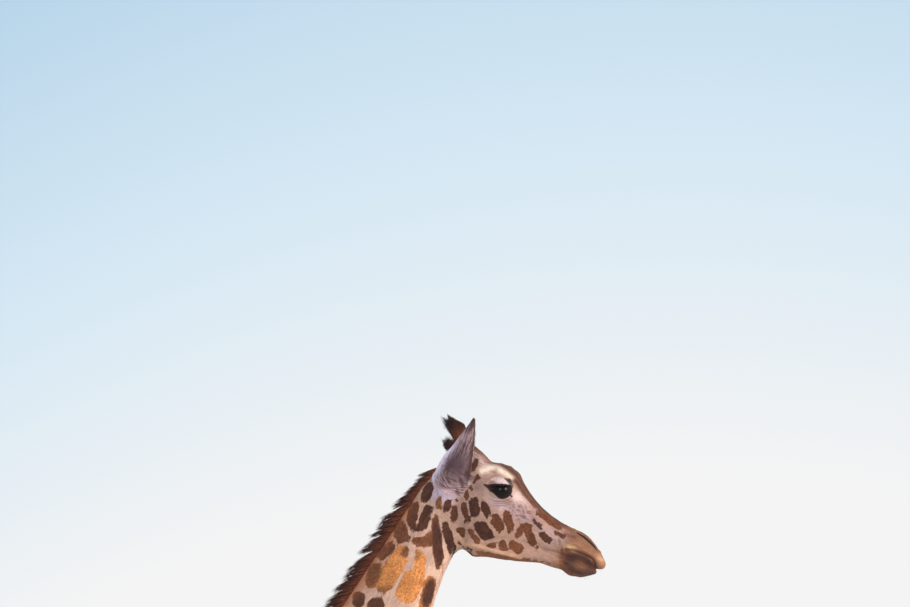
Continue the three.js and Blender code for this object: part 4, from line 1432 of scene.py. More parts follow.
def in_piece(name, points):
    """Which points belong to a piece of the coat."""
    x, y, z = points.T
    ear, tail = ear_share(points) > 0.35, tail_share(points) > 0.5
    head = ((points - HEAD_PLANE) @ HEAD_NORMAL > 0) & (z > 1.9)
    neck = ~head & ((points - NECK_FOOT) @ NECK_AXIS > 0.20)
    leg = ~head & ~neck & ~tail & (z < LEG_CUT)
    trunk = ~head & ~neck & ~leg & ~tail
    front, left = x > (CHEST_X + LOIN_X) / 2, y > 0
    return {
        "coat_head": head & ~ear,
        "coat_ears": ear,
        "coat_neck": neck & ~ear,
        "coat_chest": trunk & (x >= CHEST_X),
        "coat_barrel": trunk & (x < CHEST_X) & (x >= LOIN_X),
        "coat_rump": trunk & (x < LOIN_X),
        "coat_tail": tail,
        "coat_leg_front_left": leg & front & left,
        "coat_leg_front_right": leg & front & ~left,
        "coat_leg_hind_left": leg & ~front & left,
        "coat_leg_hind_right": leg & ~front & ~left,
    }[name]


def coat_axis(name, points):
    """Axis of the unwrap of a coat piece, and the side where its seam isn't."""
    if name == "coat_head":
        tip_x, tip_z = head_place(0.47, -0.02)
        nape_x, nape_z = head_place(0.0, -0.02)
        return (nape_x, 0, nape_z), (tip_x, 0, tip_z), (0, 0, 1)
    if name == "coat_neck":
        return NECK_FOOT, NECK_HEAD, (-1, 0, 1)
    if name.startswith("coat_leg") or name == "coat_tail":
        middle = (points.min(0) + points.max(0)) / 2
        return (middle[0], middle[1], 0), (middle[0], middle[1], 1), (1, 0, 0)
    return (-1, 0, 1.30), (1, 0, 1.30), (0, 0, 1)


def ear_unwrap(points):
    """The two faces of each ear side by side: outer faces left, hollows right."""
    share, place, height, _ = ear_frame(points)
    column = (points[:, 1] > 0) * 0.5 + (height > 0) * 0.25
    across = column + 0.02 + 0.21 * np.clip((place + 1.2) / 2.4, 0, 1)
    return np.stack((across, 0.02 + 0.96 * np.clip(share, 0, 1)), 1)


def build_coat_piece(skin, name, seed):
    """One piece of coat: tufts over its part of the skin."""
    mesh = skin.data
    points = points_of(mesh)
    normals = normals_of(points, triangles_of(mesh))
    sparse = 1.0
    corners, weights = uneven_points(mesh, name, TUFT_STEP * sparse, seed)
    open_skin = sampled(mesh, corners, weights, "clear") < 0.5
    corners, weights = corners[open_skin], weights[open_skin]
    roots = sampled(mesh, corners, weights, points)
    up = unit(sampled(mesh, corners, weights, normals))
    lies = sampled(mesh, corners, weights, "lie")
    lies = unit(lies - (lies * up).sum(1)[:, None] * up)
    dice = np.random.default_rng(seed + 1)
    long = hair_length(roots) * dice.uniform(0.75, 1.25, len(roots))
    fine = np.where(ear_share(roots) > 0.3, 0.8, 1.0)
    depth = sampled(mesh, corners, weights, "depth")
    lift = depth * dice.uniform(0.25, 0.85, len(roots))
    shape = (long * fine, long * 0.24, long * 0.022, lift)
    piece_mesh = tuft_mesh(name, roots, up, lies, shape, dice)
    for value in ("mark", "ground", "grain", "strewn"):
        at_root = np.repeat(sampled(mesh, corners, weights, value), TUFT_CORNERS, axis=0)
        set_values(piece_mesh, value, mesh.attributes[value].data_type, at_root)
    inside = get_values(mesh, "patch")
    climb = climb_of(points, corners, inside) * 0.75
    away = points_of(piece_mesh).reshape(-1, TUFT_CORNERS, 3) - roots[:, None]
    inside = sampled(mesh, corners, weights, inside)[:, None] + (away * climb[:, None]).sum(2)
    set_values(piece_mesh, "patch", "FLOAT", inside)
    places = ear_unwrap(roots) if name == "coat_ears" else unwrapped(roots, *coat_axis(name, roots))
    patch = np.array([(0, -1), (-1, 0), (0, 0.2), (1, 0), (0, 1)])
    bake_map(piece_mesh, places, TUFT_CORNERS, patch)
    return object_from(name, piece_mesh)


def strands(name, roots, middles, tips, thick, dice, shape=(1.0, 0.95, 0.72, 0.42), dark=None):
    """Closed three-sided tapering hairs along a bend from root to tip; shape is the taper."""
    count, rings = len(roots), len(shape)
    at = np.linspace(0, 1, rings + 1)[:rings]
    path = [roots * (1 - t) ** 2 + middles * 2 * t * (1 - t) + tips * t * t for t in at]
    ways = [unit((middles - roots) * (1 - t) + (tips - middles) * t) for t in at]
    guide = unit(np.cross(ways[0], dice.normal(size=(count, 3))))
    points = np.empty((count, rings * 3 + 1, 3))
    for r in range(rings):
        first = unit(guide - (guide * ways[r]).sum(1)[:, None] * ways[r])
        second = np.cross(ways[r], first)
        for s in range(3):
            turn = 2 * math.pi * s / 3
            round_it = first * math.cos(turn) + second * math.sin(turn)
            points[:, r * 3 + s] = path[r] + round_it * np.reshape(thick * shape[r], (-1, 1))
    points[:, -1] = tips
    faces = [(0, 2, 1)]
    for a, b, c, d in tube_quads(rings, 3):
        faces += [(a, b, c), (a, c, d)]
    low = (rings - 1) * 3
    faces += [(low + s, low + (s + 1) % 3, rings * 3) for s in range(3)]
    each = rings * 3 + 1
    mesh = mesh_from(name, points.reshape(-1, 3), copied(faces, each, count))
    reach = np.append(np.repeat(at, 3), 1.0)
    set_values(mesh, "reach", "FLOAT", np.tile(reach, count))
    set_values(mesh, "chance", "FLOAT", np.repeat(dice.random(count), each))
    patch = np.stack((np.append(np.tile([-1.0, 0.0, 1.0], rings), 0.0), reach * 2 - 1), 1)
    places = unwrapped(roots, roots.min(0), roots.max(0) + [1e-3] * 3, (0, 1, 0))
    bake_map(mesh, places, each, patch)
    if dark is not None:
        set_values(mesh, "dark", "FLOAT", np.repeat(dark, each))
    return object_from(name, mesh)


# ------------------------------------------------------------------------------ building

# Radius of single hairs at their root, or its least and most
HAIR_RADIUS = (0.0005, 0.0009)
SWITCH_RADIUS = (0.0006, 0.0010)
EAR_HAIR_RADIUS = 0.00042
LASH_RADIUS = 0.00038
WHISKER_RADIUS = 0.00022


def need(name):
    piece = bpy.data.objects.get(name)
    if piece is None:
        raise RuntimeError(f"{name} has to be built first")
    return piece


EVEN_ALL, EVEN_HEAD, EVEN_FINE = 30, 90, 6  # rounds of evening facets out
EYE_REACH = 0.046  # the skin is finer this near to an eye


def build_skin():
    mesh = mesh_of(joined_skin(), "rough_skin")
    points, triangles, edges = parts_of(mesh)
    ears, horns, tail = ear_share(points), ossicone_share(points), tail_share(points)
    fine = smooth((points - SKIN_JOIN) @ NECK_AXIS, -0.01, 0.01)
    points = relax(points, edges, (1 - 0.9 * ears) * (1 - 0.7 * horns) * (1 - 0.6 * tail), EVEN_ALL)
    points = relax(points, edges, fine * (1 - 0.97 * ears) * (1 - 0.9 * horns), EVEN_HEAD)
    normals = normals_of(points, triangles)
    move_points(mesh, fold(points, normals, -coat_depth(points)))
    body = pour(mesh, bmesh.new())
    for test in (near_eyes(EYE_REACH), near_lids, near_mouth):
        refine(body, test)
    bmesh.ops.triangulate(body, faces=[face for face in body.faces if len(face.verts) > 4])
    mesh = mesh_of(body, "giraffe_skin")

    points, triangles, edges = parts_of(mesh)
    near = (near_eyes(0.055)(points) | near_mouth(points)) * (1 - ear_share(points))
    points = relax(points, edges, near.astype(float), EVEN_FINE)
    for shape in (shape_body, shape_face, crease_lids):
        points = shape(points, normals_of(points, triangles))
    for side in SIDES.values():
        points = open_lids(points, side)
    move_points(mesh, points)
    lies = lie_of_coat(points, normals_of(points, triangles))
    inside, mark, ground, strewn = coat_marks(points, lies)
    for name, kind, values in (
        ("patch", "FLOAT", inside), ("mark", "FLOAT_COLOR", mark), ("ground", "FLOAT_COLOR", ground),
        ("strewn", "FLOAT", strewn),
        ("grain", "FLOAT_VECTOR", grain_of(points)), ("lie", "FLOAT_VECTOR", lies),
        ("depth", "FLOAT", coat_depth(points)), ("clear", "FLOAT", bare_skin(points)),
    ):
        set_values(mesh, name, kind, values)
    return object_from("giraffe_skin", mesh)


def near_lids(points):
    """The band round the margin of the lids."""
    dx, dz, out = from_eye(points)
    gap = lid_gap(dx, dz)
    return (out > 0.002) & (gap > 0.80) & (gap < 1.45) & (np.hypot(dx, dz) < 0.04)


def bare_skin(points):
    """1 where no tufts grow: between the lids, in the nostrils and on the edge of the lips."""
    u, out, v = head_frame(points)
    dx, dz, _ = from_eye(points)
    lid = (lid_gap(dx, dz) < 1.16) & (out > 0.05)
    slit, _ = line_distance(u, v, NOSTRIL)
    mouth, _ = line_distance(u, v, MOUTH)
    return ((lid | (slit < 0.0045) | (mouth < 0.0040)) & (points[:, 2] > HEAD_FOOT)).astype(float)


def skin_tree(skin):
    """A search tree over the skin, to root hair on it."""
    return BVHTree.FromPolygons(points_of(skin.data).tolist(), triangles_of(skin.data).tolist())


MANE_BACK = np.array([-NECK_AXIS[2], 0.0, NECK_AXIS[0]])
MANE_LOW, MANE_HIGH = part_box("mane")
CLUMP = 0.0108  # distance between the points of the mane
MANE_LEAN = math.radians(48)  # down the neck


def build_mane(skin):
    """Upright hair on the crest of the neck, in ragged pointed clumps that lean down the neck."""
    tree = skin_tree(skin)
    dice = np.random.default_rng(300)
    low = (np.array([MANE_LOW.x + 0.075, 0, MANE_LOW.z + 0.02]) - NECK_FOOT) @ NECK_AXIS
    high = (np.array([MANE_HIGH.x - 0.004, 0, MANE_HIGH.z - 0.002]) - NECK_FOOT) @ NECK_AXIS
    count = 7600
    along = dice.uniform(low, high, count)
    across = dice.normal(0, 0.0055, count).clip(-0.011, 0.011)
    roots = []
    for s, y in zip(along, across):
        start = NECK_FOOT + NECK_AXIS * s + MANE_BACK * 0.5
        roots.append(tree.ray_cast((start[0], y, start[2]), Vector(-MANE_BACK))[0])
    roots = np.array(roots) - MANE_BACK * 0.002
    share = (along - low) / (high - low)
    middles = np.arange(low, high, CLUMP)
    middles = middles + dice.normal(0, 0.14 * CLUMP, len(middles))
    clump = np.abs(along[:, None] - middles).argmin(1)
    off = along - middles[clump]
    tall, tilt = dice.uniform(0.90, 1.10, len(middles)), dice.normal(0, 0.05, len(middles))
    height = sizes().mane_hair * np.interp(share, [0, 0.12, 0.5, 0.72, 0.9, 1], [0.4, 0.65, 1, 1, 0.9, 0.6])
    filler = dice.random(count) < 0.5  # shorter hair that closes the gaps between the points
    height *= tall[clump]
    height *= np.where(filler, dice.uniform(0.44, 0.70, count), dice.uniform(0.84, 1.10, count))
    lean = MANE_LEAN + tilt[clump] + dice.normal(0, 0.05, count)
    ways = MANE_BACK * np.cos(lean)[:, None] - NECK_AXIS * np.sin(lean)[:, None]
    pull = off * np.where(filler, dice.uniform(0, 0.5, count), dice.uniform(0.75, 1.0, count))
    sideways = np.zeros((count, 3))
    sideways[:, 1] = -0.55 * across + dice.normal(0, 0.0024, count)
    tips = roots + ways * height[:, None] - NECK_AXIS * pull[:, None] + sideways
    bends = roots + (ways * 0.6 + MANE_BACK * 0.4) * (height * 0.52)[:, None] + sideways * 0.2
    return strands("mane_hair", roots, bends, tips, dice.uniform(*HAIR_RADIUS, count), dice)


HORN_LEAN = math.radians(-16)
HORN_SPLAY = math.radians(7)
HORN_RADIUS = 0.015
TUFT_LENGTH = 0.054  # of the solid brush


def build_horn_hair(side_name, side):
    """The brush of hair on one ossicone: a full body, wisps that curl back, a fringe behind."""
    dice = np.random.default_rng(310 + side)
    low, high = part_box(f"ossicone_tuft_{side_name}")
    axis = unit(np.array([math.sin(HORN_LEAN), side * math.sin(HORN_SPLAY), math.cos(HORN_LEAN)]))
    middle = np.array((low + high) / 2)
    foot = middle - axis * (TUFT_LENGTH / 2)  # the top of the ossicone
    ahead = unit(np.array([1.0, 0, 0]) - axis * axis[0])
    beside = np.cross(axis, ahead)
    body, fringe = ((1900, 340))
    count = body + fringe
    behind = np.arange(count) >= body
    turn = np.where(behind, dice.normal(math.pi, 0.55, count), dice.uniform(0, 2 * math.pi, count))
    ring = np.where(behind, 1.0, np.sqrt(dice.uniform(0, 1, count)))
    outward = ahead * np.cos(turn)[:, None] + beside * np.sin(turn)[:, None]
    back = (1 - np.cos(turn) * ring) / 2  # 0 at the front, 1 behind
    drop = np.where(behind, dice.uniform(0.002, 0.016, count), dice.uniform(0, 0.012, count) * (ring > 0.8))
    roots = foot + outward * (ring * (HORN_RADIUS - 0.001))[:, None] - axis * (drop + 0.002)[:, None]
    wisp = dice.random(count) < 0.22 * back
    tall = TUFT_LENGTH * (1 - 0.3 * dice.random(count) ** 1.5) * (0.66 + 0.66 * back) + drop
    tall = np.where(behind, dice.uniform(0.002, 0.024, count), tall)
    rearward = np.where(behind, dice.uniform(0.012, 0.032, count), 0.002 * back + 0.018 * wisp * back)
    flare = outward * (ring * (1 - 0.7 * back))[:, None]
    tips = roots + axis * tall[:, None] + 0.0035 * flare - ahead * rearward[:, None]
    bends = roots + axis * (tall * np.where(behind, 0.15, 0.62))[:, None] + 0.0050 * flare
    bends -= ahead * (0.9 * behind * rearward)[:, None]
    name, thick = f"ossicone_hair_{side_name}", dice.uniform(*HAIR_RADIUS, count)
    # The wisps and fringe are dark hair; the body of the brush darkens toward its back as painted shade, on
    # the side away from the warm light.
    return strands(name, roots, bends, tips, thick, dice, dark=np.where(wisp | behind, 1.0, 0.8 * back))


def build_switch():
    """The long dark hair at the end of the tail."""
    dice = np.random.default_rng(320)
    low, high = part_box("tail_tuft")
    centre = np.array([(low.x + high.x) / 2, 0.0, 0.0])
    count = 2600
    turn = dice.uniform(0, 2 * math.pi, count)
    outward = np.stack((np.cos(turn), np.sin(turn), np.zeros(count)), 1)
    start = high.z + 0.03 - 0.11 * dice.random(count) ** 1.3
    roots = centre + outward * 0.0068
    roots[:, 2] = start
    foot = high.z - sizes().switch_hair * (1.03 - 0.42 * dice.random(count) ** 1.6)
    spread = dice.uniform(0.1, 1.0, count)
    tips = centre + outward * (0.006 + 0.013 * spread)[:, None]
    tips[:, 2] = foot
    middles = centre + outward * (0.012 + 0.012 * spread)[:, None]
    middles[:, 2] = start * 0.5 + foot * 0.5
    return strands("tail_switch", roots, middles, tips, dice.uniform(*SWITCH_RADIUS, count), dice)


def build_ear_hair(side_name, side):
    """Longer hair inside the hollow of one ear and along its rims."""
    dice = np.random.default_rng(330 + side)
    along, across, hollow, size = ear_axes()
    rings = np.array(EAR_RINGS)
    count = 900
    share = dice.uniform(0.06, 0.80, count)
    at_rim = dice.uniform(0.55, 0.97, count) * np.sign(dice.random(count) - 0.45)
    place = np.where(dice.random(count) < 0.62, at_rim, dice.uniform(-0.6, 0.6, count))
    breadth, cup, thick, bow = (np.interp(share, rings[:, 0], rings[:, k]) for k in (1, 2, 3, 4))
    wall = thick * (0.42 + 0.58 * np.sqrt(np.clip(1 - place**2, 0, 1))) / 2
    height = cup * (place**2 - 0.4) + wall - 0.0008
    roots = EAR_ROOT + along * (share * size)[:, None] + across * (place * breadth / 2 - bow)[:, None]
    roots = roots + hollow * height[:, None]
    ways = unit(along - 0.55 * across * place[:, None] + hollow * 0.22)
    long = dice.uniform(0.012, 0.024, count) * np.interp(share, [0, 0.5, 0.8], [1.1, 1.0, 0.6])
    tips = roots + ways * long[:, None] + hollow * (0.10 * long)[:, None]
    middles = roots + unit(ways + hollow * 0.5) * (long * 0.5)[:, None]
    for group in (roots, tips, middles):
        group[:, 1] *= side
    name, dark = f"ear_hair_{side_name}", np.where(place > 0.5, 1.0, 0.0)
    return strands(name, roots, middles, tips, EAR_HAIR_RADIUS, dice, (1.0, 0.85, 0.5), dark)


def build_lashes(side_name, side):
    """Long lashes on the upper lid."""
    dice = np.random.default_rng(340 + side)
    count = 110
    turn = np.linspace(22, 158, count) + dice.normal(0, 1.0, count)
    margin = lid_radius(turn) * 1.02
    turn = np.radians(turn)
    dx, dz = margin * np.cos(turn), margin * np.sin(turn)
    out = np.sqrt(np.maximum((EYE_RADIUS + 0.0012) ** 2 - dx**2 - dz**2, 1e-6))
    centre = EYE * [1, side, 1]
    roots = centre + np.stack((dx, side * out, dz), 1)
    fan = np.stack((dx * 16, np.full(count, side), np.full(count, -0.30)), 1)
    long = 0.016 * (1 - 0.45 * (np.abs(dx) / 0.0262) ** 2) * dice.uniform(0.8, 1.15, count)
    ways = unit(fan + dice.normal(0, 0.10, (count, 3)))
    tips = roots + ways * long[:, None]
    middles = roots + unit(ways + [0, 0, -0.5]) * (long * 0.5)[:, None]
    return strands(f"eyelashes_{side_name}", roots, middles, tips, LASH_RADIUS, dice)


def build_whiskers(skin):
    """Sparse stiff hairs round the lips and chin."""
    dice = np.random.default_rng(350)
    tree = skin_tree(skin)
    count = 150
    u = dice.uniform(0.36, 0.468, count)
    v = dice.uniform(-0.062, 0.012, count)
    side = np.sign(dice.random(count) - 0.5)
    roots, ways = [], []
    for k in range(count):
        x, z = head_place(u[k], v[k])
        hit, normal, _, _ = tree.ray_cast((x, side[k] * 0.3, z), (0, -side[k], 0))
        if hit is not None:
            roots.append(hit)
            ways.append(normal)
    roots, ways = np.array(roots), np.array(ways)
    long = dice.uniform(0.006, 0.017, len(roots))[:, None]
    tips = roots + unit(ways + [0.1, 0, -0.55]) * long
    middles = roots + ways * long * 0.5
    return strands("whiskers", roots - ways * 0.001, middles, tips, WHISKER_RADIUS, dice, (1.0, 0.8, 0.5))


# --------------------------------------------------------------------------------- eyes

EYE_RINGS = (48, 72)  # from front to rear, and corners of each


def build_eyeball(side_name, side):
    """A ball with a slight cornea; iris holds the place on it, from the middle of the pupil."""
    gaze = unit(np.array([0.12, side, -0.04]))
    up = unit(np.array([0.0, 0.0, 1.0]) - gaze * gaze[2])
    level = np.cross(gaze, up)
    rings, round_it = EYE_RINGS
    centre = EYE * [1, side, 1]
    angle = np.repeat(math.pi * np.arange(1, rings) / rings, round_it)
    turn = np.tile(2 * math.pi * np.arange(round_it) / round_it, rings - 1)
    cornea = 0.0008 * bell(EYE_RADIUS * np.sin(angle), 0, 0.0125) * (angle < math.pi / 2)
    radius = EYE_RADIUS - 0.0002 + cornea
    on_ring = np.stack((np.cos(turn), np.sin(turn)), 1)
    sideways = on_ring @ (level, up) * np.sin(angle)[:, None]
    points = centre + (gaze * np.cos(angle)[:, None] + sideways) * radius[:, None]
    front, rear = centre + gaze * (EYE_RADIUS + 0.0006), centre - gaze * EYE_RADIUS
    points = np.concatenate(([front], points, [rear]))
    places = np.zeros((len(points), 3))
    places[1:-1, :2] = on_ring * (angle * EYE_RADIUS)[:, None]
    places[-1, 0] = math.pi * EYE_RADIUS
    faces, last = [], len(points) - 1
    for a, b, c, d in tube_quads(rings - 1, round_it, 1):
        faces += [(a, d, c), (a, c, b)]
    for s in range(round_it):
        n = (s + 1) % round_it
        faces += [(0, 1 + s, 1 + n), (last - round_it + s, last, last - round_it + n)]
    name = f"eyeball_{side_name}"
    mesh = mesh_from(name, points, np.array(faces))
    set_values(mesh, "iris", "FLOAT_VECTOR", places)
    return object_from(name, mesh)


# Where each part of the eye starts to fade into the next, and where it ends
PUPIL_EDGE = (0.0052, 0.0068)
IRIS_EDGE = (0.0135, 0.0165)
BALL_EDGE = (0.0215, 0.0290)


def eye_finish(name):
    """A dark eye: wide level pupil, streaked brown iris, dark rim, wet surface."""
    finish = Finish(name)
    place = finish.stored("iris", "Vector")
    parts = finish.add("ShaderNodeSeparateXYZ", {"Vector": place})
    level, up = finish.times(parts.outputs["X"], 0.62), parts.outputs["Y"]
    oval = finish.math("SQRT", finish.plus(finish.times(level, level), finish.times(up, up)))
    far = finish.add("ShaderNodeVectorMath", {0: place}, operation="LENGTH").outputs["Value"]
    spokes = finish.add("ShaderNodeVectorMath", {0: place}, operation="NORMALIZE").outputs[0]
    streaks = finish.noise(spokes, 9.0, 4.0, 0.7)
    iris = finish.blend(finish.ramp(streaks, 0.3, 0.7), tone("iris") * 0.55, tone("iris") * 1.7)
    colour = finish.blend(finish.ramp(oval, *PUPIL_EDGE), srgb(8, 7, 8), iris)
    colour = finish.blend(finish.ramp(far, *IRIS_EDGE), colour, srgb(24, 17, 14))
    cloud = finish.noise(finish.place(), 400.0, 3.0)
    rim = finish.blend(finish.ramp(cloud, 0.3, 0.7), srgb(30, 20, 16), srgb(70, 52, 44))
    colour = finish.blend(finish.ramp(far, *BALL_EDGE), colour, rim)
    finish.surface(Base_Color=colour, Roughness=0.28, Specular_IOR_Level=0.12)
    finish.surface(Coat_Weight=0.06, Coat_Roughness=0.03)
    return finish.material


# ------------------------------------------------------------------------------- hooves

CLAW_STEP = 0.0022  # edge length of a claw
GROWTH_STEP = 0.0085  # distance between the growth rings of a claw


def claw_body(node_name):
    """One claw, evened out, ringed by growth and rooted a little way up into the skin."""
    rough = object_from("claw", mesh_of(welded(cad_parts[node_name]), "claw"))
    mesh = mesh_of(voxel_skin(rough, CLAW_STEP), "claw")
    bpy.data.objects.remove(rough)
    points, triangles, edges = parts_of(mesh)
    bpy.data.meshes.remove(mesh)
    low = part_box(node_name)[0]
    free = smooth(points[:, 2], 0.0015, 0.006)
    points = relax(points, edges, free, 14)
    normals = normals_of(points, triangles)
    slanted = points[:, 2] - 0.34 * (points[:, 0] - low.x)
    wall = smooth(np.hypot(normals[:, 0], normals[:, 1]), 0.5, 0.8) * free
    rings = np.sin(slanted * 2 * math.pi / GROWTH_STEP + 1.5 * ripple(points, 0.05, 61))
    points = fold(points, normals, wall * (0.00045 * rings + 0.0004 * ripple(points, 0.012, 62)))
    points[:, 2] = np.maximum(points[:, 2], 0.0)
    top = smooth(normals[:, 2], 0.55, 0.85) * smooth(points[:, 2], 0.03, 0.05)
    points[:, 2] += 0.006 * top
    return points, triangles, slanted


def build_claws(leg):
    """Both claws of one foot as one piece."""
    name, claws = f"claws_{leg}", [claw_body(f"hoof_{leg}_{which}") for which in ("outer", "inner")]
    points, faces, rings = zip(*claws)
    faces = np.concatenate((faces[0], faces[1] + len(points[0])))
    mesh = mesh_from(name, np.concatenate(points), faces)
    set_values(mesh, "rings", "FLOAT", np.concatenate(rings))
    return object_from(name, mesh)


def horn_finish(name):
    """Hoof horn: dark, banded by growth, scuffed paler and duller toward the ground."""
    finish = Finish(name)
    place = finish.place()
    height = finish.add("ShaderNodeSeparateXYZ", {"Vector": place}).outputs["Z"]
    rings, wobble = finish.times(finish.stored("rings"), 780.0), finish.times(finish.noise(place, 40.0), 5.0)
    bands = finish.math("SINE", finish.plus(rings, wobble))
    base = tone("horn")
    colour = finish.blend(finish.ramp(bands, -1.0, 1.0), base * 0.72, base * 1.35)
    grain = finish.noise(place, 300.0, 4.0, 0.65)
    colour = finish.blend(finish.ramp(grain, 0.35, 0.75, 0.0, 0.45), colour, srgb(116, 98, 80))
    scuff = finish.times(finish.ramp(height, 0.024, 0.0), finish.ramp(grain, 0.3, 0.6))
    colour = finish.blend(scuff, colour, srgb(142, 124, 102))
    finish.surface(Base_Color=colour, Roughness=finish.ramp(grain, 0.3, 0.7, 0.36, 0.62))
    finish.bump(finish.plus(bands, finish.times(grain, 1.5)), 0.35, 0.0008)
    return finish.material


# -------------------------------------------------------------------------------- stage

CAMERA_AT = (0.5062, -10.0, 1.65)
CAMERA_UP = 0.117896  # radians above level
LENS = 165.5
SENSOR = 36.0


def build_camera():
    camera = bpy.data.objects.new("camera", bpy.data.cameras.new("camera"))
    bpy.context.scene.collection.objects.link(camera)
    camera.location = CAMERA_AT
    camera.rotation_euler = (math.pi / 2 + CAMERA_UP, 0, 0)
    camera.data.lens = LENS
    camera.data.sensor_width = SENSOR
    camera.data.clip_end = 200
    bpy.context.scene.camera = camera


def build_light(name, place, target, size, power, red, green, blue):
    data = bpy.data.lights.new(name, "AREA")
    data.shape = "DISK"
    data.size = size
    data.energy = power
    data.color = srgb(red, green, blue)
    lamp = bpy.data.objects.new(name, data)
    bpy.context.scene.collection.objects.link(lamp)
    lamp.location = place
    way = Vector(target) - Vector(place)
    lamp.rotation_euler = way.to_track_quat("-Z", "Y").to_euler()


def build_world():
    """Pale daylight: near white low down, light blue high up and toward the animal's rear."""
    world = bpy.data.worlds.new("studio_light")
    bpy.context.scene.world = world
    world.use_nodes = True
    sky = Nodes(world.node_tree)
    sky.tree.nodes.clear()
    way = sky.add("ShaderNodeSeparateXYZ", {0: sky.add("ShaderNodeTexCoord").outputs["Generated"]})
    aside = sky.math("SUBTRACT", way.outputs["X"], 0.05)
    aside = sky.times(aside, aside, 11.0)
    share = sky.plus(sky.math("MULTIPLY_ADD", way.outputs["Z"], 6.5, -0.5), aside)
    shades = sky.add("ShaderNodeValToRGB", {"Fac": share})
    stops = shades.color_ramp.elements
    stops.new(0.5)
    for stop, shade in zip(stops, ((244, 244, 244), (214, 232, 244), (184, 213, 234))):
        stop.color = (*srgb(*shade), 1)
    seen = sky.add("ShaderNodeBackground", {"Color": shades.outputs["Color"]})
    light = sky.add("ShaderNodeBackground", {"Color": (*srgb(238, 242, 250), 1), "Strength": 0.80})
    either = sky.add("ShaderNodeMixShader", {0: sky.add("ShaderNodeLightPath").outputs["Is Camera Ray"]})
    sky.set(either, {1: light.outputs[0], 2: seen.outputs[0]})
    sky.set(sky.add("ShaderNodeOutputWorld"), {"Surface": either.outputs[0]})


def floor_finish():
    finish = Finish("studio_floor")
    cloud = finish.noise(finish.place(), 1.4, 3.0)
    speck = finish.noise(finish.place(), 180.0, 2.0)
    share = finish.plus(finish.times(cloud, 0.7), finish.times(speck, 0.3))
    colour = finish.blend(finish.ramp(share, 0.3, 0.7), tone("floor") * 0.95, tone("floor"))
    finish.surface(Base_Color=colour, Roughness=0.8)
    return finish.material


def build_floor():
    reach = 60.0
    points = np.array([(-reach, -reach, 0), (reach, -reach, 0), (reach, reach, 0), (-reach, reach, 0)])
    floor = object_from("floor", mesh_from("floor", points, np.array([(0, 1, 2, 3)])))
    floor.data.materials.append(floor_finish())


# ---------------------------------------------------------------------------- operators

class GIRAFFE_OT_skin(bpy.types.Operator):
    """Builds the single skin of the animal, with its folds and markings"""

    bl_idname = "giraffe.skin"
    bl_label = "Skin"

    def execute(self, context):
        skin = build_skin()
        flesh = [
            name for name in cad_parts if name.startswith((*FLESH, "ear_")) or name == TAIL_NODE
        ]
        finish_piece(skin, coat_finish("giraffe_skin", False), "coat_patched", *flesh)
        return {"FINISHED"}


class GIRAFFE_OT_coat(bpy.types.Operator):
    """Covers the skin with short tufts that follow the lie of the coat"""

    bl_idname = "giraffe.coat"
    bl_label = "Coat"

    def execute(self, context):
        skin = need("giraffe_skin")
        fur = coat_finish("giraffe_coat", True)
        for number, name in enumerate(COAT_PIECES):
            slot = "ear" if name == "coat_ears" else "coat_patched"
            finish_piece(build_coat_piece(skin, name, 100 + 10 * number), fur, slot)
        return {"FINISHED"}


class GIRAFFE_OT_mane(bpy.types.Operator):
    """Plants the mane on the crest of the neck"""

    bl_idname = "giraffe.mane"
    bl_label = "Mane"

    def execute(self, context):
        piece = build_mane(need("giraffe_skin"))
        hair = hair_finish("mane_hair", tone("mane_root"), tone("mane_tip"))
        finish_piece(piece, hair, "mane", "mane")
        return {"FINISHED"}


class GIRAFFE_OT_horn_hair(bpy.types.Operator):
    """Plants the brushes of hair on the ossicones"""

    bl_idname = "giraffe.horn_hair"
    bl_label = "Ossicone hair"

    def execute(self, context):
        hair = hair_finish("ossicone_hair", srgb(150, 78, 40), srgb(86, 44, 28))
        for side_name, side in SIDES.items():
            piece = build_horn_hair(side_name, side)
            finish_piece(piece, hair, "dark_hair", f"ossicone_tuft_{side_name}")
        return {"FINISHED"}


class GIRAFFE_OT_switch(bpy.types.Operator):
    """Plants the long hair at the end of the tail"""

    bl_idname = "giraffe.switch"
    bl_label = "Tail hair"

    def execute(self, context):
        hair = hair_finish("tail_hair", tone("mane_tip") * 1.3, tone("mane_tip") * 0.7)
        finish_piece(build_switch(), hair, "dark_hair", "tail_tuft")
        return {"FINISHED"}


class GIRAFFE_OT_face_hair(bpy.types.Operator):
    """Plants the hair of the ears, the lashes and the whiskers"""

    bl_idname = "giraffe.face_hair"
    bl_label = "Face hair"

    def execute(self, context):
        pale = hair_finish("ear_hair", srgb(204, 184, 168), srgb(232, 220, 208), 0.6)
        dark = hair_finish("lash_hair", tone("mane_tip"), tone("mane_tip") * 0.6)
        for side_name, side in SIDES.items():
            finish_piece(build_ear_hair(side_name, side), pale, "ear")
            finish_piece(build_lashes(side_name, side), dark, "dark_hair")
        finish_piece(build_whiskers(need("giraffe_skin")), dark, "dark_hair")
        return {"FINISHED"}


class GIRAFFE_OT_eyes(bpy.types.Operator):
    """Builds both eyes"""

    bl_idname = "giraffe.eyes"
    bl_label = "Eyes"

    def execute(self, context):
        wet = eye_finish("eye")
        for side_name, side in SIDES.items():
            finish_piece(build_eyeball(side_name, side), wet, "eye", f"eye_{side_name}")
        return {"FINISHED"}


class GIRAFFE_OT_hooves(bpy.types.Operator):
    """Builds the two claws of each foot"""

    bl_idname = "giraffe.hooves"
    bl_label = "Hooves"

    def execute(self, context):
        horn = horn_finish("hoof_horn")
        for leg in LEGS:
            nodes = (f"hoof_{leg}_outer", f"hoof_{leg}_inner")
            finish_piece(build_claws(leg), horn, "hoof", *nodes)
        return {"FINISHED"}


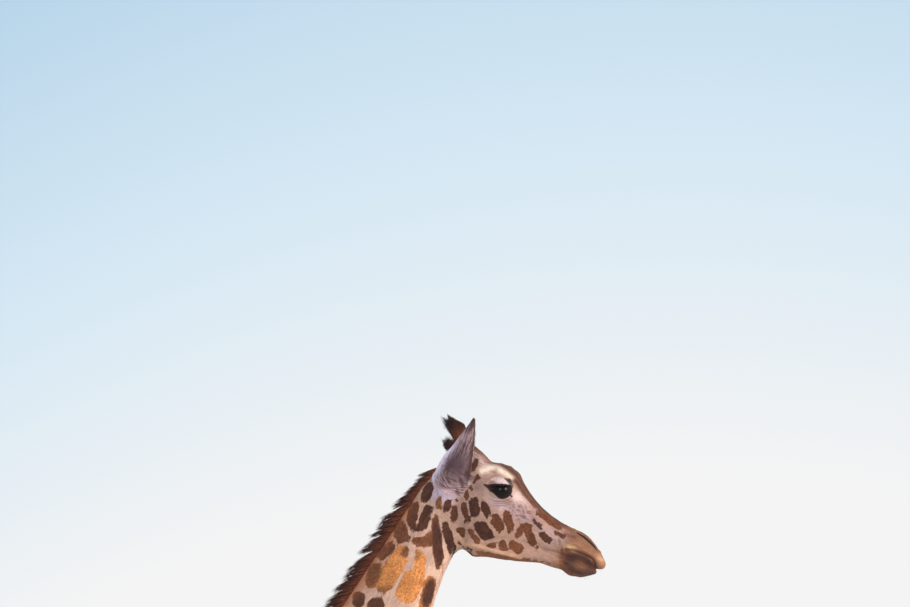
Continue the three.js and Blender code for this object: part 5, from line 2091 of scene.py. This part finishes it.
class GIRAFFE_OT_stage(bpy.types.Operator):
    """Sets up the camera, the lights and the floor"""

    bl_idname = "giraffe.stage"
    bl_label = "Stage"

    def execute(self, context):
        build_camera()
        build_world()
        build_floor()
        neck = (0.40, 0.0, 2.1)
        build_light("cool_fill", (0.2, -8.0, 3.6), (0.1, 0, 1.6), 1.6, 230, 236, 240, 255)
        build_light("warm_key", (6.0, -2.6, 3.6), neck, 1.4, 230, 255, 230, 200)
        build_light("far_side", (-2.5, 7.0, 4.0), (-0.2, 0, 1.5), 2.0, 260, 240, 244, 255)
        context.scene.view_settings.view_transform = "Standard"
        return {"FINISHED"}


OPERATORS = (
    GIRAFFE_OT_skin, GIRAFFE_OT_coat, GIRAFFE_OT_mane, GIRAFFE_OT_horn_hair, GIRAFFE_OT_switch,
    GIRAFFE_OT_face_hair, GIRAFFE_OT_eyes, GIRAFFE_OT_hooves, GIRAFFE_OT_stage,
)


class GIRAFFE_PT_panel(bpy.types.Panel):
    """Sizes, colours and building steps of the giraffe"""

    bl_idname = "GIRAFFE_PT_panel"
    bl_label = "Giraffe"
    bl_space_type = "VIEW_3D"
    bl_region_type = "UI"
    bl_category = "Giraffe"

    def draw(self, context):
        for group in (context.scene.giraffe_sizes, context.scene.giraffe_colours):
            box = self.layout.box()
            for name in group.bl_rna.properties.keys():
                if name not in ("rna_type", "name"):
                    box.prop(group, name)
        for operator in OPERATORS:
            self.layout.operator(operator.bl_idname)


CLASSES = (GiraffeSizes, GiraffeColours, *OPERATORS, GIRAFFE_PT_panel)


def register():
    for item in CLASSES:
        bpy.utils.register_class(item)
    bpy.types.Scene.giraffe_sizes = PointerProperty(type=GiraffeSizes)
    bpy.types.Scene.giraffe_colours = PointerProperty(type=GiraffeColours)


def unregister():
    del bpy.types.Scene.giraffe_colours
    del bpy.types.Scene.giraffe_sizes
    for item in reversed(CLASSES):
        bpy.utils.unregister_class(item)


def main():
    register()
    for operator in OPERATORS:
        group, name = operator.bl_idname.split(".")
        getattr(getattr(bpy.ops, group), name)()


if __name__ == "__main__":
    main()
